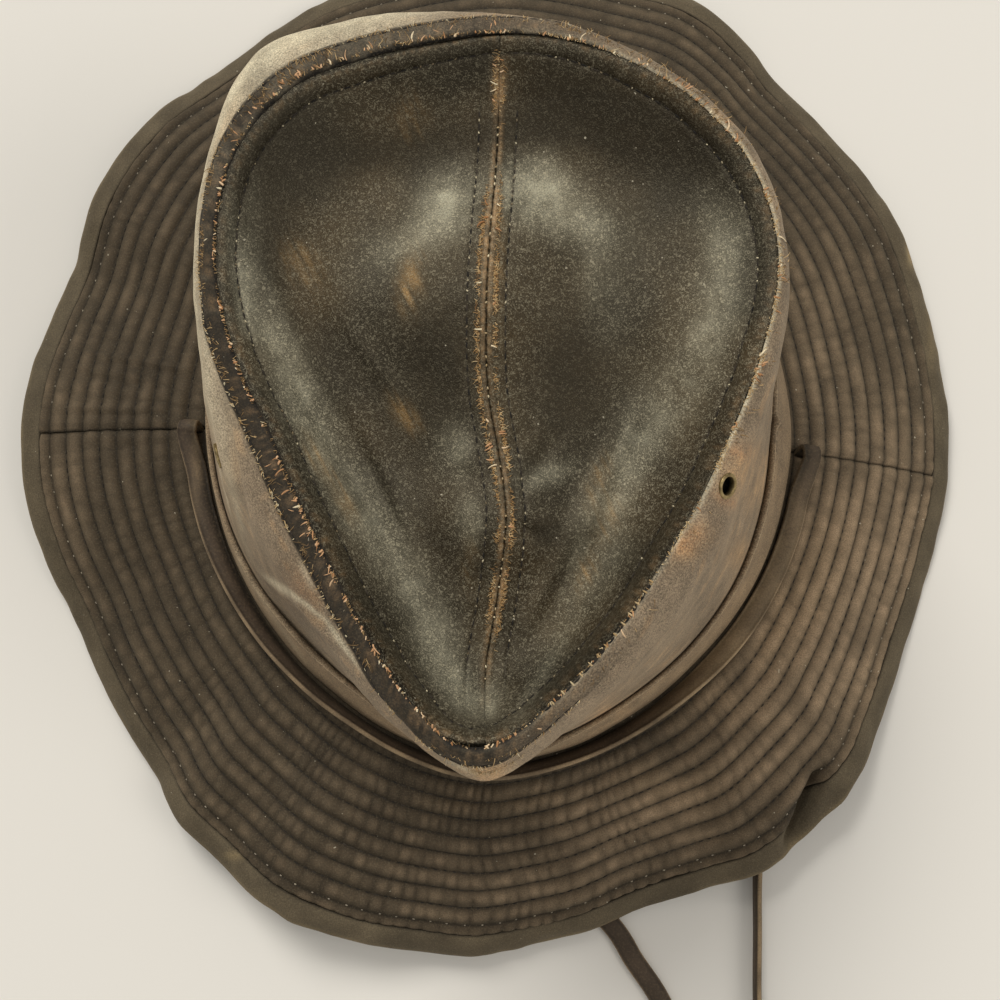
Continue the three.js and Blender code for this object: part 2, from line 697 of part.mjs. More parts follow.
// The strap on the brim, leaning against the crown as its table says.
function strapOnBrim(turn) {
  const leaning = openValue(strapRows, 'turn', 'lean', turn) * degrees;
  const off = openValue(strapRows, 'turn', 'off', turn) * (slitFromBand + slitEase);
  const inner = gap + bandCloth + off + strapThickness * Math.sin(leaning);
  const { middle: place, out, off: square } = brimFrame(turn, inner / brimWidth);
  const turned = (first, second, angle) => first.clone()
    .multiplyScalar(Math.cos(angle)).addScaledVector(second, Math.sin(angle));
  const across = turned(out, square, leaning);
  const faceUp = turned(square, out, -leaning);
  const middle = place.clone()
    .addScaledVector(square, strapOffBrim)
    .addScaledVector(across, strapWidth / 2)
    .addScaledVector(faceUp, strapThickness / 2);
  return { middle, across };
}

function strapOverBrim() {
  const first = seamTurns.left + layStart;
  const last = seamTurns.right - layStart;
  const places = [
    ...archAt(seamTurns.left, 1),
    ...stations(first, last, layStep).map(strapOnBrim),
    ...archAt(seamTurns.right, -1).reverse(),
  ];
  return strapAlong(places, 1);
}

// The free strap: from under the left slit down to the floor, forward past the brim,
// round, and back to the right slit.
const underSlitDepths = [0, 2.5, 5];

function underSlit(turn, depth) {
  const frame = slitFrame(turn);
  const down = archPlaces[0].up * strapThickness - gap - depth;
  const middle = frame.middle.clone().addScaledVector(frame.off, down).applyMatrix4(rest);
  return { middle, across: frame.out.clone().transformDirection(rest) };
}

function loopPlace(row, i, rows) {
  const before = rows[Math.max(i - 1, 0)];
  const after = rows[Math.min(i + 1, rows.length - 1)];
  const ahead = new THREE.Vector3(after.x - before.x, after.y - before.y, 0).normalize();
  const tilt = row.tilt * degrees;
  const level = new THREE.Vector3(ahead.y, -ahead.x, 0).multiplyScalar(Math.cos(tilt));
  const middle = new THREE.Vector3(row.x, row.y, row.z);
  return { middle, across: level.setZ(Math.sin(tilt)) };
}

function chinStrap() {
  const places = [
    ...underSlitDepths.map((depth) => underSlit(seamTurns.left, depth)),
    ...loopRows.map(loopPlace),
    ...underSlitDepths.map((depth) => underSlit(seamTurns.right, depth)).reverse(),
  ];
  return strapAlong(places, 2);
}

// Finishes of the pieces.
const finishes = {
  tipCloth: { color: 0x2b2a26, roughness: 0.5, metalness: 0 },
  sideCloth: { color: 0x5b4c3c, roughness: 0.75, metalness: 0 },
  brimCanvas: { color: 0x45403a, roughness: 0.85, metalness: 0 },
  strapCloth: { color: 0x4b3a2a, roughness: 0.7, metalness: 0 },
  eyeletBrass: { color: 0x8a7348, roughness: 0.4, metalness: 1 },
};

function piece(name, geometry, finish) {
  const mesh = new THREE.Mesh(geometry, new THREE.MeshStandardMaterial(finishes[finish]));
  mesh.name = name;
  return mesh;
}

const cutSide = cutBy(crownSide(), Object.values(eyelets).map(eyeletHole));
const hatPieces = [
  piece('crown_tip_left', laid(tipHalf(1)), 'tipCloth'),
  piece('crown_tip_right', laid(tipHalf(-1)), 'tipCloth'),
  piece('crown_side', laid(cutSide), 'sideCloth'),
  piece('hat_band', laid(hatBand()), 'sideCloth'),
  piece('brim_front', laid(brimHalf(seamTurns.left, seamTurns.right)), 'brimCanvas'),
  piece('brim_back', laid(brimHalf(seamTurns.right - 360, seamTurns.left)), 'brimCanvas'),
  piece('brim_binding', flattenedOnFloor(laid(bindingRing())), 'brimCanvas'),
  piece('strap_over_brim', laid(strapOverBrim()), 'strapCloth'),
  piece('eyelet_left', laid(eyelet(eyelets.left)), 'eyeletBrass'),
  piece('eyelet_right', laid(eyelet(eyelets.right)), 'eyeletBrass'),
];

// The whole is centred on the hat itself, without the loose strap.
const hat = new THREE.Group();
hat.add(...hatPieces);
const outline = new THREE.Box3().setFromObject(hat, true);
hat.add(piece('chin_strap', chinStrap(), 'strapCloth'));
const centre = outline.getCenter(new THREE.Vector3());
hat.position.set(-centre.x, -centre.y, 0);

export default hat;
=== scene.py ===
# A bush hat of waxed cotton, seen from above as it lies on a pale floor.
# Metres, +Z up, the hat's front toward -Y. The hat's shapes are worked out round the
# middle of its head opening and then laid on the floor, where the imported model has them.
import bpy
import math
import numpy as np
from mathutils import Matrix


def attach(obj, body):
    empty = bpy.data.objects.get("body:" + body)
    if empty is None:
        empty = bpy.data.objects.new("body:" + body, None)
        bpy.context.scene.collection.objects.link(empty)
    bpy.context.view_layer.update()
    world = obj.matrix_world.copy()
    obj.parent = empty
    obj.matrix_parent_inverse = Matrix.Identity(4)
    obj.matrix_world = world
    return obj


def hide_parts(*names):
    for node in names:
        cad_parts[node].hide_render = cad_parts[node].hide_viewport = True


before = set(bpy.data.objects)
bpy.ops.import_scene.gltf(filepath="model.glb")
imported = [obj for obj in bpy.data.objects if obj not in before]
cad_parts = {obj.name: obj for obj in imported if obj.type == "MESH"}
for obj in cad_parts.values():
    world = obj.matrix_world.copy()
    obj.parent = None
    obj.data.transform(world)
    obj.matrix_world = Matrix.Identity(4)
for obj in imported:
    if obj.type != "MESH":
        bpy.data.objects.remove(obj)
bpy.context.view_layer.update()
mm = 0.001
degrees = math.pi / 180

# How the hat lies (degrees, and the shift of its own frame), and how the camera stands
# over it: so far from the middle of the head opening, tilted toward the hat's front.
lying = {"leanAboutWidth": -1.84, "leanAboutLength": -1.05,
         "shift": (2.523 * mm, -6.518 * mm, 35.933 * mm)}
view = {"standOff": 500 * mm, "lowered": 18.4 * mm, "tilt": 10.0,
        "focalPixels": 1630.0, "picturePixels": 1000.0, "sensor": 36.0, "nearest": 20 * mm}
upward = np.array([0, 0, 1.0])
lowestCloth = 0.1 * mm  # no cloth lies lower over the floor


# Product of the turn about the hat's width and the turn about its length.
def leanMatrix():
    a, b = lying["leanAboutWidth"] * degrees, lying["leanAboutLength"] * degrees
    aboutWidth = np.array([[1, 0, 0], [0, math.cos(a), -math.sin(a)], [0, math.sin(a), math.cos(a)]])
    aboutLength = np.array([[math.cos(b), 0, math.sin(b)], [0, 1, 0], [-math.sin(b), 0, math.cos(b)]])
    return aboutLength @ aboutWidth


hatLean = leanMatrix()


# From the hat's own frame to the floor's: turned by the lean, then shifted.
def laid(points):
    return points @ hatLean.T + np.array(lying["shift"])


# The way back, from the floor's frame to the hat's.
def unlaid(points):
    return (points - np.array(lying["shift"])) @ hatLean


# The camera's right, up and forward directions and its place: back along its sight from
# the middle of the head opening, and a little lower in the picture.
def cameraAxes():
    tilt = view["tilt"] * degrees
    right = np.array([1.0, 0.0, 0.0])
    up = np.array([0.0, math.cos(tilt), math.sin(tilt)])
    forward = np.array([0.0, math.sin(tilt), -math.cos(tilt)])
    eye = -view["standOff"] * forward - view["lowered"] * up
    return right, up, forward, eye


# Where a point of the hat's own frame shows on the photo, in its pixels across and down:
# the middle plus the focal length times the sideways offset over the depth.
def seenAt(points):
    right, up, forward, eye = cameraAxes()
    away = points - eye
    depth = away @ forward
    middle = view["picturePixels"] / 2
    across = middle + view["focalPixels"] * (away @ right) / depth
    down = middle - view["focalPixels"] * (away @ up) / depth
    return across, down


# The camera as an object: its lens is the focal length over the picture's width, both in
# pixels, times the sensor, and its axes are turned by the hat's lean.
def placeCamera():
    right, up, forward, eye = cameraAxes()
    lens = bpy.data.cameras.new("camera")
    lens.sensor_width = view["sensor"]
    lens.lens = view["focalPixels"] / view["picturePixels"] * view["sensor"]
    lens.clip_start = view["nearest"]
    camera = bpy.data.objects.new("camera", lens)
    place = np.eye(4)
    place[:3, :3] = hatLean @ np.stack([right, up, -forward], 1)
    place[:3, 3] = laid(eye)
    camera.matrix_world = Matrix(place.tolist())
    bpy.context.scene.collection.objects.link(camera)
    bpy.context.scene.camera = camera


placeCamera()
print("camera placed")


# A smooth curve through a table's rows, read at any places: a cubic whose slope at each
# row is that of the line between its two neighbours. A closed table runs round 360 degrees.
def through(table, key, column, places, closed=True):
    spots = np.array(table[key], float)
    values = np.array(table[column], float)
    if closed:
        places = spots[0] + np.mod(np.asarray(places, float) - spots[0], 360)
        spots = np.concatenate([spots[-2:] - 360, spots, spots[:2] + 360])
        values = np.concatenate([values[-2:], values, values[:2]])
    else:
        spots = np.concatenate([[spots[0] - 1], spots, [spots[-1] + 1]])
        values = np.concatenate([values[:1], values, values[-1:]])
    slopes = np.zeros_like(values)
    slopes[1:-1] = (values[2:] - values[:-2]) / (spots[2:] - spots[:-2])
    low = np.clip(np.searchsorted(spots, places, side="right") - 1, 1, len(spots) - 3)
    span = spots[low + 1] - spots[low]
    share = (places - spots[low]) / span
    square, cube = share ** 2, share ** 3
    return (values[low] * (2 * cube - 3 * square + 1) + slopes[low] * span * (cube - 2 * square + share)
            + values[low + 1] * (3 * square - 2 * cube) + slopes[low + 1] * span * (cube - square))


# Vectors divided by their own lengths.
def unit(vectors):
    return vectors / np.maximum(np.linalg.norm(vectors, axis=-1, keepdims=True), 1e-12)


# Unit vectors of the level part: the height is left out.
def levelled(vectors):
    return unit(vectors * np.array([1, 1, 0]))


# A value held between 0 and 1, to serve as a share.
def asShare(value):
    return np.clip(value, 0, 1)


# From the first point or colour to the second, by a share.
def blend(first, second, share):
    return first + (second - first) * np.asarray(share)[..., None]


# 0 up to low and 1 from high on; between them three squares less two cubes of the share.
def eased(value, low, high):
    share = asShare((value - low) / (high - low))
    return share * share * (3 - 2 * share)


# A bell: 1 where the value is the middle, falling off over the width.
def bell(value, middle, width):
    return np.exp(-((value - middle) / width) ** 2)


# Smooth random heights from -1 to 1: one random number at each whole place, eased from
# one to the next both ways. Repeats after wrap places across, if that is given.
def cloud(across, along, seed, wrap=512):
    table = np.random.default_rng(seed).uniform(-1, 1, (512, 512))
    across, along = np.broadcast_arrays(across, along)
    i, j = np.floor(across).astype(int), np.floor(along).astype(int)
    u, v = across - i, along - j
    u, v = u * u * (3 - 2 * u), v * v * (3 - 2 * v)
    left, right = i % wrap, (i + 1) % wrap
    near, far = j % 512, (j + 1) % 512
    return ((table[left, near] * (1 - u) + table[right, near] * u) * (1 - v)
            + (table[left, far] * (1 - u) + table[right, far] * u) * v)


# The same random heights, from 0 to 1.
def mottle(across, along, seed, wrap=512):
    return 0.5 + 0.5 * cloud(across, along, seed, wrap)


# Random heights round a closed ring, so many to the whole turn, which is in radians.
def ringCloud(around, count, along, seed):
    return cloud(around * count / (2 * np.pi), along, seed, count)


# The same heights round a ring, from 0 to 1.
def ringMottle(around, count, along, seed):
    return 0.5 + 0.5 * ringCloud(around, count, along, seed)


# How far along a line each of its points lies: the sum of the steps before it.
def reachAlong(line):
    return np.concatenate([[0], np.cumsum(np.linalg.norm(np.diff(line, axis=0), axis=1))])


# Places along a line at their reach, with the line's direction and normal at each.
def placesAt(spots, line, normals):
    reach = reachAlong(line)
    place, ahead, off = (np.stack([np.interp(spots, reach, values[:, k]) for k in range(3)], 1)
                         for values in (line, np.gradient(line, axis=0), normals))
    return place, unit(ahead), unit(off)


# Turns once round the hat in degrees, one to a column.
def turnsRound(count):
    return np.linspace(0, 360, count, endpoint=False)[:, None]


# Angles once round, in radians, without the last that meets the first.
def anglesRound(count):
    return np.linspace(0, 2 * math.pi, count, endpoint=False)


# Distance in plan from each point to a line of points, and how far along the line it is.
def distanceTo(points, line):
    nearest = np.full(points.shape[:-1], np.inf)
    reached = np.zeros(points.shape[:-1])
    lengths = np.linalg.norm(np.diff(line[:, :2], axis=0), axis=1)
    start = 0.0
    for a, b, length in zip(line[:-1, :2], line[1:, :2], lengths):
        share = asShare(((points[..., :2] - a) @ (b - a)) / length ** 2)
        away = np.linalg.norm(points[..., :2] - a - share[..., None] * (b - a), axis=-1)
        closer = away < nearest
        nearest = np.where(closer, away, nearest)
        reached = np.where(closer, start + share * length, reached)
        start += length
    return nearest, reached


# Unit normals of a grid of points, on the side of the given rough direction.
def gridNormals(grid, toward, closed):
    if closed:
        alongColumns = np.roll(grid, -1, 0) - np.roll(grid, 1, 0)
    else:
        alongColumns = np.gradient(grid, axis=0)
    normals = unit(np.cross(alongColumns, np.gradient(grid, axis=1)))
    facing = np.sign((normals * toward).sum(-1, keepdims=True))
    return normals * np.where(facing == 0, 1, facing)


# Quads between neighbouring columns and rows of a grid whose first corner is start. A
# closed grid joins its last column to its first.
def gridFaces(columns, rows, closed, start=0):
    i = np.arange(columns if closed else columns - 1)[:, None]
    j = np.arange(rows - 1)[None, :]
    here, there = start + i * rows, start + (i + 1) % columns * rows
    return np.stack([here + j, there + j, there + j + 1, here + j + 1], -1).reshape(-1, 4)


# Quads of a grid closed both ways, as on a ring: its last row joins its first as well.
def ringFaces(columns, rows):
    i = np.arange(columns)
    following = (i + 1) % columns
    closing = np.stack([i * rows + rows - 1, following * rows + rows - 1, following * rows, i * rows], 1)
    return np.concatenate([gridFaces(columns, rows, True), closing])


# Puts corners and faces (one array for each number of sides) into a mesh object, with its
# faces outward, and gives it its material and its marks: numbers or colours at corners.
def putMesh(name, corners, faces, material, marks=None):
    fan = np.concatenate([np.stack([f[:, 0], f[:, k], f[:, k + 1]], 1)
                          for f in faces for k in range(1, f.shape[1] - 1)])
    a, b, c = corners[fan[:, 0]], corners[fan[:, 1]], corners[fan[:, 2]]
    middle = corners.mean(0)
    if ((a - middle) * np.cross(b - middle, c - middle)).sum() < 0:
        faces = [f[:, ::-1] for f in faces]
    mesh = bpy.data.meshes.new(name)
    mesh.vertices.add(len(corners))
    mesh.vertices.foreach_set("co", corners.astype(np.float32).ravel())
    loops = np.concatenate([f.ravel() for f in faces]).astype(np.int32)
    sides = np.concatenate([np.full(len(f), f.shape[1]) for f in faces])
    mesh.loops.add(len(loops))
    mesh.loops.foreach_set("vertex_index", loops)
    mesh.polygons.add(len(sides))
    starts = np.concatenate([[0], np.cumsum(sides)[:-1]]).astype(np.int32)
    mesh.polygons.foreach_set("loop_start", starts)
    mesh.polygons.foreach_set("use_smooth", np.ones(len(sides), bool))
    mesh.update(calc_edges=True)
    for key, values in (marks or {}).items():
        if values.ndim == 1:
            mark = mesh.attributes.new(key, "FLOAT", "POINT")
            mark.data.foreach_set("value", values.astype(np.float32))
        else:
            mark = mesh.attributes.new(key, "FLOAT_COLOR", "POINT")
            mark.data.foreach_set("color", values.astype(np.float32).ravel())
    mesh.validate()
    mesh.materials.append(material)
    piece = bpy.data.objects.new(name, mesh)
    bpy.context.scene.collection.objects.link(piece)
    return piece


# Puts a piece on the body and hides the solids that it stands for; its slot is not used.
def dress(piece, slot, *nodes):
    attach(piece, "root")
    if nodes:
        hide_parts(*nodes)
    return piece


# A sheet of cloth with a thickness: two faces over the same columns, which may have
# different numbers of rows, closed along both edges, and at both ends unless it is a ring.
# The inner face has one colour, no gloss and no painted glints.
def sheetMesh(name, outer, inner, closed, material, dyeAndPaintedLight, innerDye, glossAndPaintedGlint):
    columns, rows = outer.shape[:2]
    innerRows = inner.shape[1]
    start = columns * rows
    i = np.arange(columns if closed else columns - 1)
    following = (i + 1) % columns
    faces = [gridFaces(columns, rows, closed),
             gridFaces(columns, innerRows, closed, start)[:, ::-1],
             np.stack([start + i * innerRows, start + following * innerRows,
                       following * rows, i * rows], 1),
             np.stack([i * rows + rows - 1, following * rows + rows - 1,
                       start + following * innerRows + innerRows - 1,
                       start + i * innerRows + innerRows - 1], 1)]
    quads = [np.concatenate(faces)]
    if not closed:
        for column, step in ((0, 1), (columns - 1, -1)):
            top = column * rows + np.arange(rows)
            under = start + column * innerRows + np.arange(innerRows)[::-1]
            quads.append(np.concatenate([top, under])[::step][None, :])
    corners = laid(np.concatenate([outer.reshape(-1, 3), inner.reshape(-1, 3)]))
    corners[:, 2] = np.maximum(corners[:, 2], lowestCloth)
    innerCount = columns * innerRows
    dyeAndPaintedLight = np.concatenate([dyeAndPaintedLight.reshape(start, 3), np.broadcast_to(innerDye, (innerCount, 3))])
    glossAndPaintedGlint = np.concatenate([glossAndPaintedGlint.ravel(), np.zeros(innerCount)])
    return putMesh(name, corners, quads, material, {"dyeAndPaintedLight": withAlpha(dyeAndPaintedLight), "glossAndPaintedGlint": glossAndPaintedGlint})


# A colour as a maker would pick it, in sRGB hex, turned to the renderer's linear values.
def paint(code):
    shares = np.array([int(code[k:k + 2], 16) / 255 for k in (0, 2, 4)])
    return np.where(shares <= 0.04045, shares / 12.92, ((shares + 0.055) / 1.055) ** 2.4)


# Colours with a fourth number that makes them opaque.
def withAlpha(colour):
    return np.concatenate([colour, np.ones(colour.shape[:-1] + (1,))], -1)


# The colours so far, turned toward one more colour by a share.
def recoloured(dyeAndPaintedLight, code, share):
    return blend(dyeAndPaintedLight, paint(code), share)


# Soft ovals on the photo, each 1 in its middle and falling off as a bell: how far across
# and down it lies in pixels, its half width and half length, its turn, and its amount.
def ovals(seen, spots):
    total = np.zeros(seen[0].shape)
    for px, py, wide, long, turned, amount in spots:
        x, y = seen[0] - px, seen[1] - py
        c, s = math.cos(turned * degrees), math.sin(turned * degrees)
        total += amount * np.exp(-((x * c + y * s) / wide) ** 2 - ((y * c - x * s) / long) ** 2)
    return total


# The same ovals, held between 0 and 1.
def patches(seen, spots):
    return asShare(ovals(seen, spots))


# Ridges and valleys on the photo: each runs straight from one pixel to another, tapering
# at both ends, with a bell for its cross section; the last number is its height in mm.
def folds(seen, lines):
    total = np.zeros(seen[0].shape)
    for fromX, fromY, toX, toY, width, height in lines:
        dx, dy = toX - fromX, toY - fromY
        length = math.hypot(dx, dy)
        along = ((seen[0] - fromX) * dx + (seen[1] - fromY) * dy) / length
        away = ((seen[0] - fromX) * dy - (seen[1] - fromY) * dx) / length
        taper = eased(along, -0.15 * length, 0.3 * length) * (1 - eased(along, 0.7 * length, 1.15 * length))
        total += height * mm * taper * np.exp(-(away / width) ** 2)
    return total


# One shader node: its settings first, then each input as a link or a plain value.
def node(tree, kind, inputs=None, **settings):
    made = tree.nodes.new(kind)
    for key, value in settings.items():
        setattr(made, key, value)
    for key, value in (inputs or {}).items():
        if isinstance(value, bpy.types.NodeSocket):
            tree.links.new(value, made.inputs[key])
        else:
            made.inputs[key].default_value = value
    return made


# Noise of a scale at each place, about 0.5.
def noise(tree, place, scale, detail, rough, swirl=0.0):
    return node(tree, "ShaderNodeTexNoise", {"Vector": place, "Scale": scale, "Detail": detail,
                                             "Roughness": rough, "Distortion": swirl}).outputs["Fac"]


# A value carried from one range to another in a straight line, and held at its ends.
def ranged(tree, value, low, high, toLow, toHigh):
    return node(tree, "ShaderNodeMapRange", {"Value": value, "From Min": low, "From Max": high,
                                             "To Min": toLow, "To Max": toHigh}).outputs["Result"]


# The sum, difference or product of two values.
def mathOf(tree, operation, first, second):
    return node(tree, "ShaderNodeMath", {0: first, 1: second}, operation=operation).outputs[0]


# Two colours mixed by a share, or multiplied.
def mixed(tree, share, first, second, kind="MIX"):
    return node(tree, "ShaderNodeMix", {0: share, 6: first, 7: second}, data_type="RGBA",
                blend_type=kind).outputs[2]


# A paint as a shader's input takes it.
def opaque(code):
    return (*paint(code), 1.0)


# The marks that the mesh carries, as a colour or a number.
def markOf(tree, name, output):
    return node(tree, "ShaderNodeAttribute", attribute_name=name).outputs[output]


# A new material with an empty tree, and its piece's own coordinates.
def startMaterial(name):
    material = bpy.data.materials.new(name)
    material.use_nodes = True
    tree = material.node_tree
    tree.nodes.clear()
    return material, tree, node(tree, "ShaderNodeTexCoord").outputs["Object"]


# How far each noise of a cloth swings, the flecks of lint, and the grain's share in the
# bumps; the fibres have the rest.
clothNoise = {"cloudSpan": (0.32, 0.68), "fibreSpan": (0.34, 0.66), "grainSpan": 0.12,
              "lintScale": 900, "lintSpan": (0.875, 0.885), "lint": "cfc5ad",
              "roughSpan": (0.3, 0.7), "grainInBumps": 0.65, "sheenRoughness": 0.5,
              "cloudDetail": (5.0, 0.62), "fibreDetail": (3.0, 0.6), "grainDetail": (2.0, 0.5),
              "lintDetail": (0.0, 0.5)}


# Cloth whose colour, dye and painted light together, comes with the mesh as a colour mark. Its
# broad clouds, fine fibres and bright grain flecks, painted glints strongest where the gloss and
# glint mark is, come from noise on the piece's own coordinates, and so do its roughness and its bumps.
def clothMaterial(look):
    material, tree, place = startMaterial(look["name"])
    dyeAndPaintedLight, glossAndPaintedGlint = markOf(tree, "dyeAndPaintedLight", "Color"), markOf(tree, "glossAndPaintedGlint", "Fac")
    clouds = noise(tree, place, look["cloudScale"], *clothNoise["cloudDetail"])
    fibres = noise(tree, place, look["fibreScale"], *clothNoise["fibreDetail"])
    grain = noise(tree, place, look["grainScale"], *clothNoise["grainDetail"], look["swirl"])
    broad = ranged(tree, clouds, *clothNoise["cloudSpan"], 1 - look["clouds"], 1 + look["clouds"])
    fine = ranged(tree, fibres, *clothNoise["fibreSpan"], 1 - look["fibres"], 1 + look["fibres"])
    shade = mathOf(tree, "MULTIPLY", broad, fine)
    grey = node(tree, "ShaderNodeCombineColor", {0: shade, 1: shade, 2: shade}).outputs[0]
    toned = mixed(tree, 1.0, dyeAndPaintedLight, grey, "MULTIPLY")
    # Painted glints: bright flecks of grain in the colour, a few everywhere and more where the gloss and
    # glint mark is.
    glint = ranged(tree, grain, look["grainFrom"], look["grainFrom"] + clothNoise["grainSpan"], 0.0, 1.0)
    lit = mathOf(tree, "ADD", look["grainDull"], mathOf(tree, "MULTIPLY", glossAndPaintedGlint, look["paintedGlintOnGloss"]))
    coloured = mixed(tree, mathOf(tree, "MULTIPLY", glint, lit), toned, opaque(look["grainAndPaintedGlintColour"]))
    lint = noise(tree, place, clothNoise["lintScale"], *clothNoise["lintDetail"])
    flecked = mixed(tree, ranged(tree, lint, *clothNoise["lintSpan"], 0.0, look["lint"]), coloured,
                    opaque(clothNoise["lint"]))
    roughness = mathOf(tree, "SUBTRACT", ranged(tree, fibres, *clothNoise["roughSpan"], *look["roughness"]),
                       mathOf(tree, "MULTIPLY", glossAndPaintedGlint, look["smoother"]))
    height = mathOf(tree, "ADD", mathOf(tree, "MULTIPLY", grain, clothNoise["grainInBumps"]),
                    mathOf(tree, "MULTIPLY", fibres, 1 - clothNoise["grainInBumps"]))
    bump = node(tree, "ShaderNodeBump", {"Height": height, "Strength": look["bump"],
                                         "Distance": look["bumpDepth"] * mm})
    shader = node(tree, "ShaderNodeBsdfPrincipled", {
        "Base Color": flecked, "Roughness": roughness, "Normal": bump.outputs[0],
        "Specular IOR Level": look["specular"], "Specular Tint": opaque(look["specularTint"]),
        "Sheen Weight": look["sheen"], "Sheen Roughness": clothNoise["sheenRoughness"],
        "Sheen Tint": opaque(look["sheenTint"])})
    node(tree, "ShaderNodeOutputMaterial", {"Surface": shader.outputs[0]})
    return material


# The five cloths, one to a column: the tip, the crown's side, the brim, the straps and the
# threads. Scales are counts to a metre, the bumps' depth is in mm.
clothLooks = {
    "name": ["waxed_tip_cloth", "worn_side_cloth", "brim_canvas", "strap_cloth", "thread_fibre"],
    "cloudScale": [80, 140, 65, 110, 300], "clouds": [0.3, 0.22, 0.22, 0.18, 0.15],
    "fibreScale": [3200, 2400, 2600, 2200, 3000], "fibres": [0.5, 0.5, 0.3, 0.24, 0.2],
    "grainScale": [1500, 1900, 2000, 1300, 2600], "swirl": [1.6, 0.6, 0.0, 0.0, 0.0],
    "grainFrom": [0.52, 0.53, 0.53, 0.52, 0.6], "grainDull": [0.08, 0.34, 0.12, 0.08, 0.0],
    "paintedGlintOnGloss": [0.72, 0.25, 0.2, 0.25, 0.0],
    "grainAndPaintedGlintColour": ["b8ae92", "c2ad8a", "8f836a", "a08a6a", "c9b694"],
    "lint": [0.6, 0.4, 0.5, 0.3, 0.0],
    "roughness": [(0.32, 0.5), (0.66, 0.86), (0.66, 0.88), (0.6, 0.82), (0.7, 0.9)],
    "smoother": [0.04, 0.05, 0.15, 0.15, 0.0],
    "bump": [1.0, 0.8, 0.6, 0.5, 0.2], "bumpDepth": [0.32, 0.3, 0.3, 0.25, 0.1],
    "specular": [0.42, 0.35, 0.35, 0.4, 0.3],
    "specularTint": ["fff0d2", "ffffff", "fff6e6", "fff6e6", "ffffff"],
    "sheen": [0.0, 0.16, 0.14, 0.1, 0.15],
    "sheenTint": ["a8a48e", "c8b394", "9c9276", "a08a70", "c9b694"]}
waxedTip, wornSide, brimCanvas, strapCloth, threadFibre = (
    clothMaterial({key: column[k] for key, column in clothLooks.items()})
    for k in range(len(clothLooks["name"])))

brass = {"tarnishScale": 600, "tarnishDetail": (5.0, 0.7), "tarnishSpan": (0.35, 0.65),
         "dull": "6a5a3a", "bright": "b09b6e", "paintedHoleShade": "0c0a07", "metallic": 0.85,
         "roughSpan": (0.3, 0.7), "roughness": (0.62, 0.46), "bump": 0.3, "bumpDepth": 0.1 * mm}


# Tarnished brass: dull and bright in clouds of noise, and nearly black where the mesh's
# painted hole shade mark is: painted shade inside the hole.
def brassMaterial():
    material, tree, place = startMaterial("antique_brass")
    tarnish = noise(tree, place, brass["tarnishScale"], *brass["tarnishDetail"])
    colour = mixed(tree, ranged(tree, tarnish, *brass["tarnishSpan"], 0.0, 1.0),
                   opaque(brass["dull"]), opaque(brass["bright"]))
    colour = mixed(tree, markOf(tree, "paintedHoleShade", "Fac"), colour, opaque(brass["paintedHoleShade"]))
    bump = node(tree, "ShaderNodeBump", {"Height": tarnish, "Strength": brass["bump"],
                                         "Distance": brass["bumpDepth"]})
    shader = node(tree, "ShaderNodeBsdfPrincipled", {
        "Base Color": colour, "Metallic": brass["metallic"], "Normal": bump.outputs[0],
        "Roughness": ranged(tree, tarnish, *brass["roughSpan"], *brass["roughness"])})
    node(tree, "ShaderNodeOutputMaterial", {"Surface": shader.outputs[0]})
    return material


antiqueBrass = brassMaterial()
print("materials made")

# Painted shade: the colour painted into grooves, seams and recesses, where shade falls.
seamShade = "17120c"  # the shade in grooves and seams

crown = {
    "footHalf": (88 * mm, 102 * mm), "shoulderHalf": (74 * mm, 96 * mm), "tipHalf": (70 * mm, 90 * mm),
    "height": 105 * mm, "shoulderDrop": 13 * mm, "bandHeight": 22 * mm, "cloth": 1.6 * mm,
    "tipDip": 27 * mm, "pinchShift": -3 * mm, "seamSwing": 3.4 * mm,
    "cornerInward": 0.22, "cornerBelowRim": 1.2 * mm,
    "halfwayOut": 0.6, "rimSteepness": 4, "seamEndInset": 2 * mm, "gap": 0.3 * mm}
crownRings = {
    "turn": [15 * k for k in range(17)] + [255, 263, 270, 277, 285, 300, 315, 330, 345],
    "foot": [1.0, 1.0, 1.015, 1.03, 1.045, 1.05, 1.06, 1.05, 1.045, 1.035, 1.015, 1.005, 1.0,
             0.975, 0.95, 0.93, 0.92, 0.93, 0.94, 0.945, 0.94, 0.935, 0.93, 0.935, 0.955, 0.98],
    "band": [0.9, 0.93, 0.965, 0.99, 1.0, 1.005, 1.015, 1.02, 1.02, 1.025, 1.0, 0.975, 0.96,
             0.94, 0.91, 0.88, 0.875, 0.905, 0.93, 0.94, 0.93, 0.91, 0.89, 0.89, 0.895, 0.895],
    "shoulder": [0.95, 1.03, 1.05, 1.02, 0.98, 0.965, 0.965, 1.01, 1.1, 1.22, 1.17, 1.09, 1.01,
                 0.955, 0.92, 0.91, 0.945, 1.005, 1.05, 1.08, 1.04, 0.98, 0.92, 0.885, 0.87, 0.89],
    "rim": [0.91, 1.01, 1.035, 1.0, 0.955, 0.93, 0.916, 0.92, 0.97, 1.06, 1.095, 1.035, 0.925,
            0.825, 0.795, 0.81, 0.875, 0.985, 1.05, 1.06, 1.015, 0.95, 0.857, 0.8, 0.797, 0.83]}
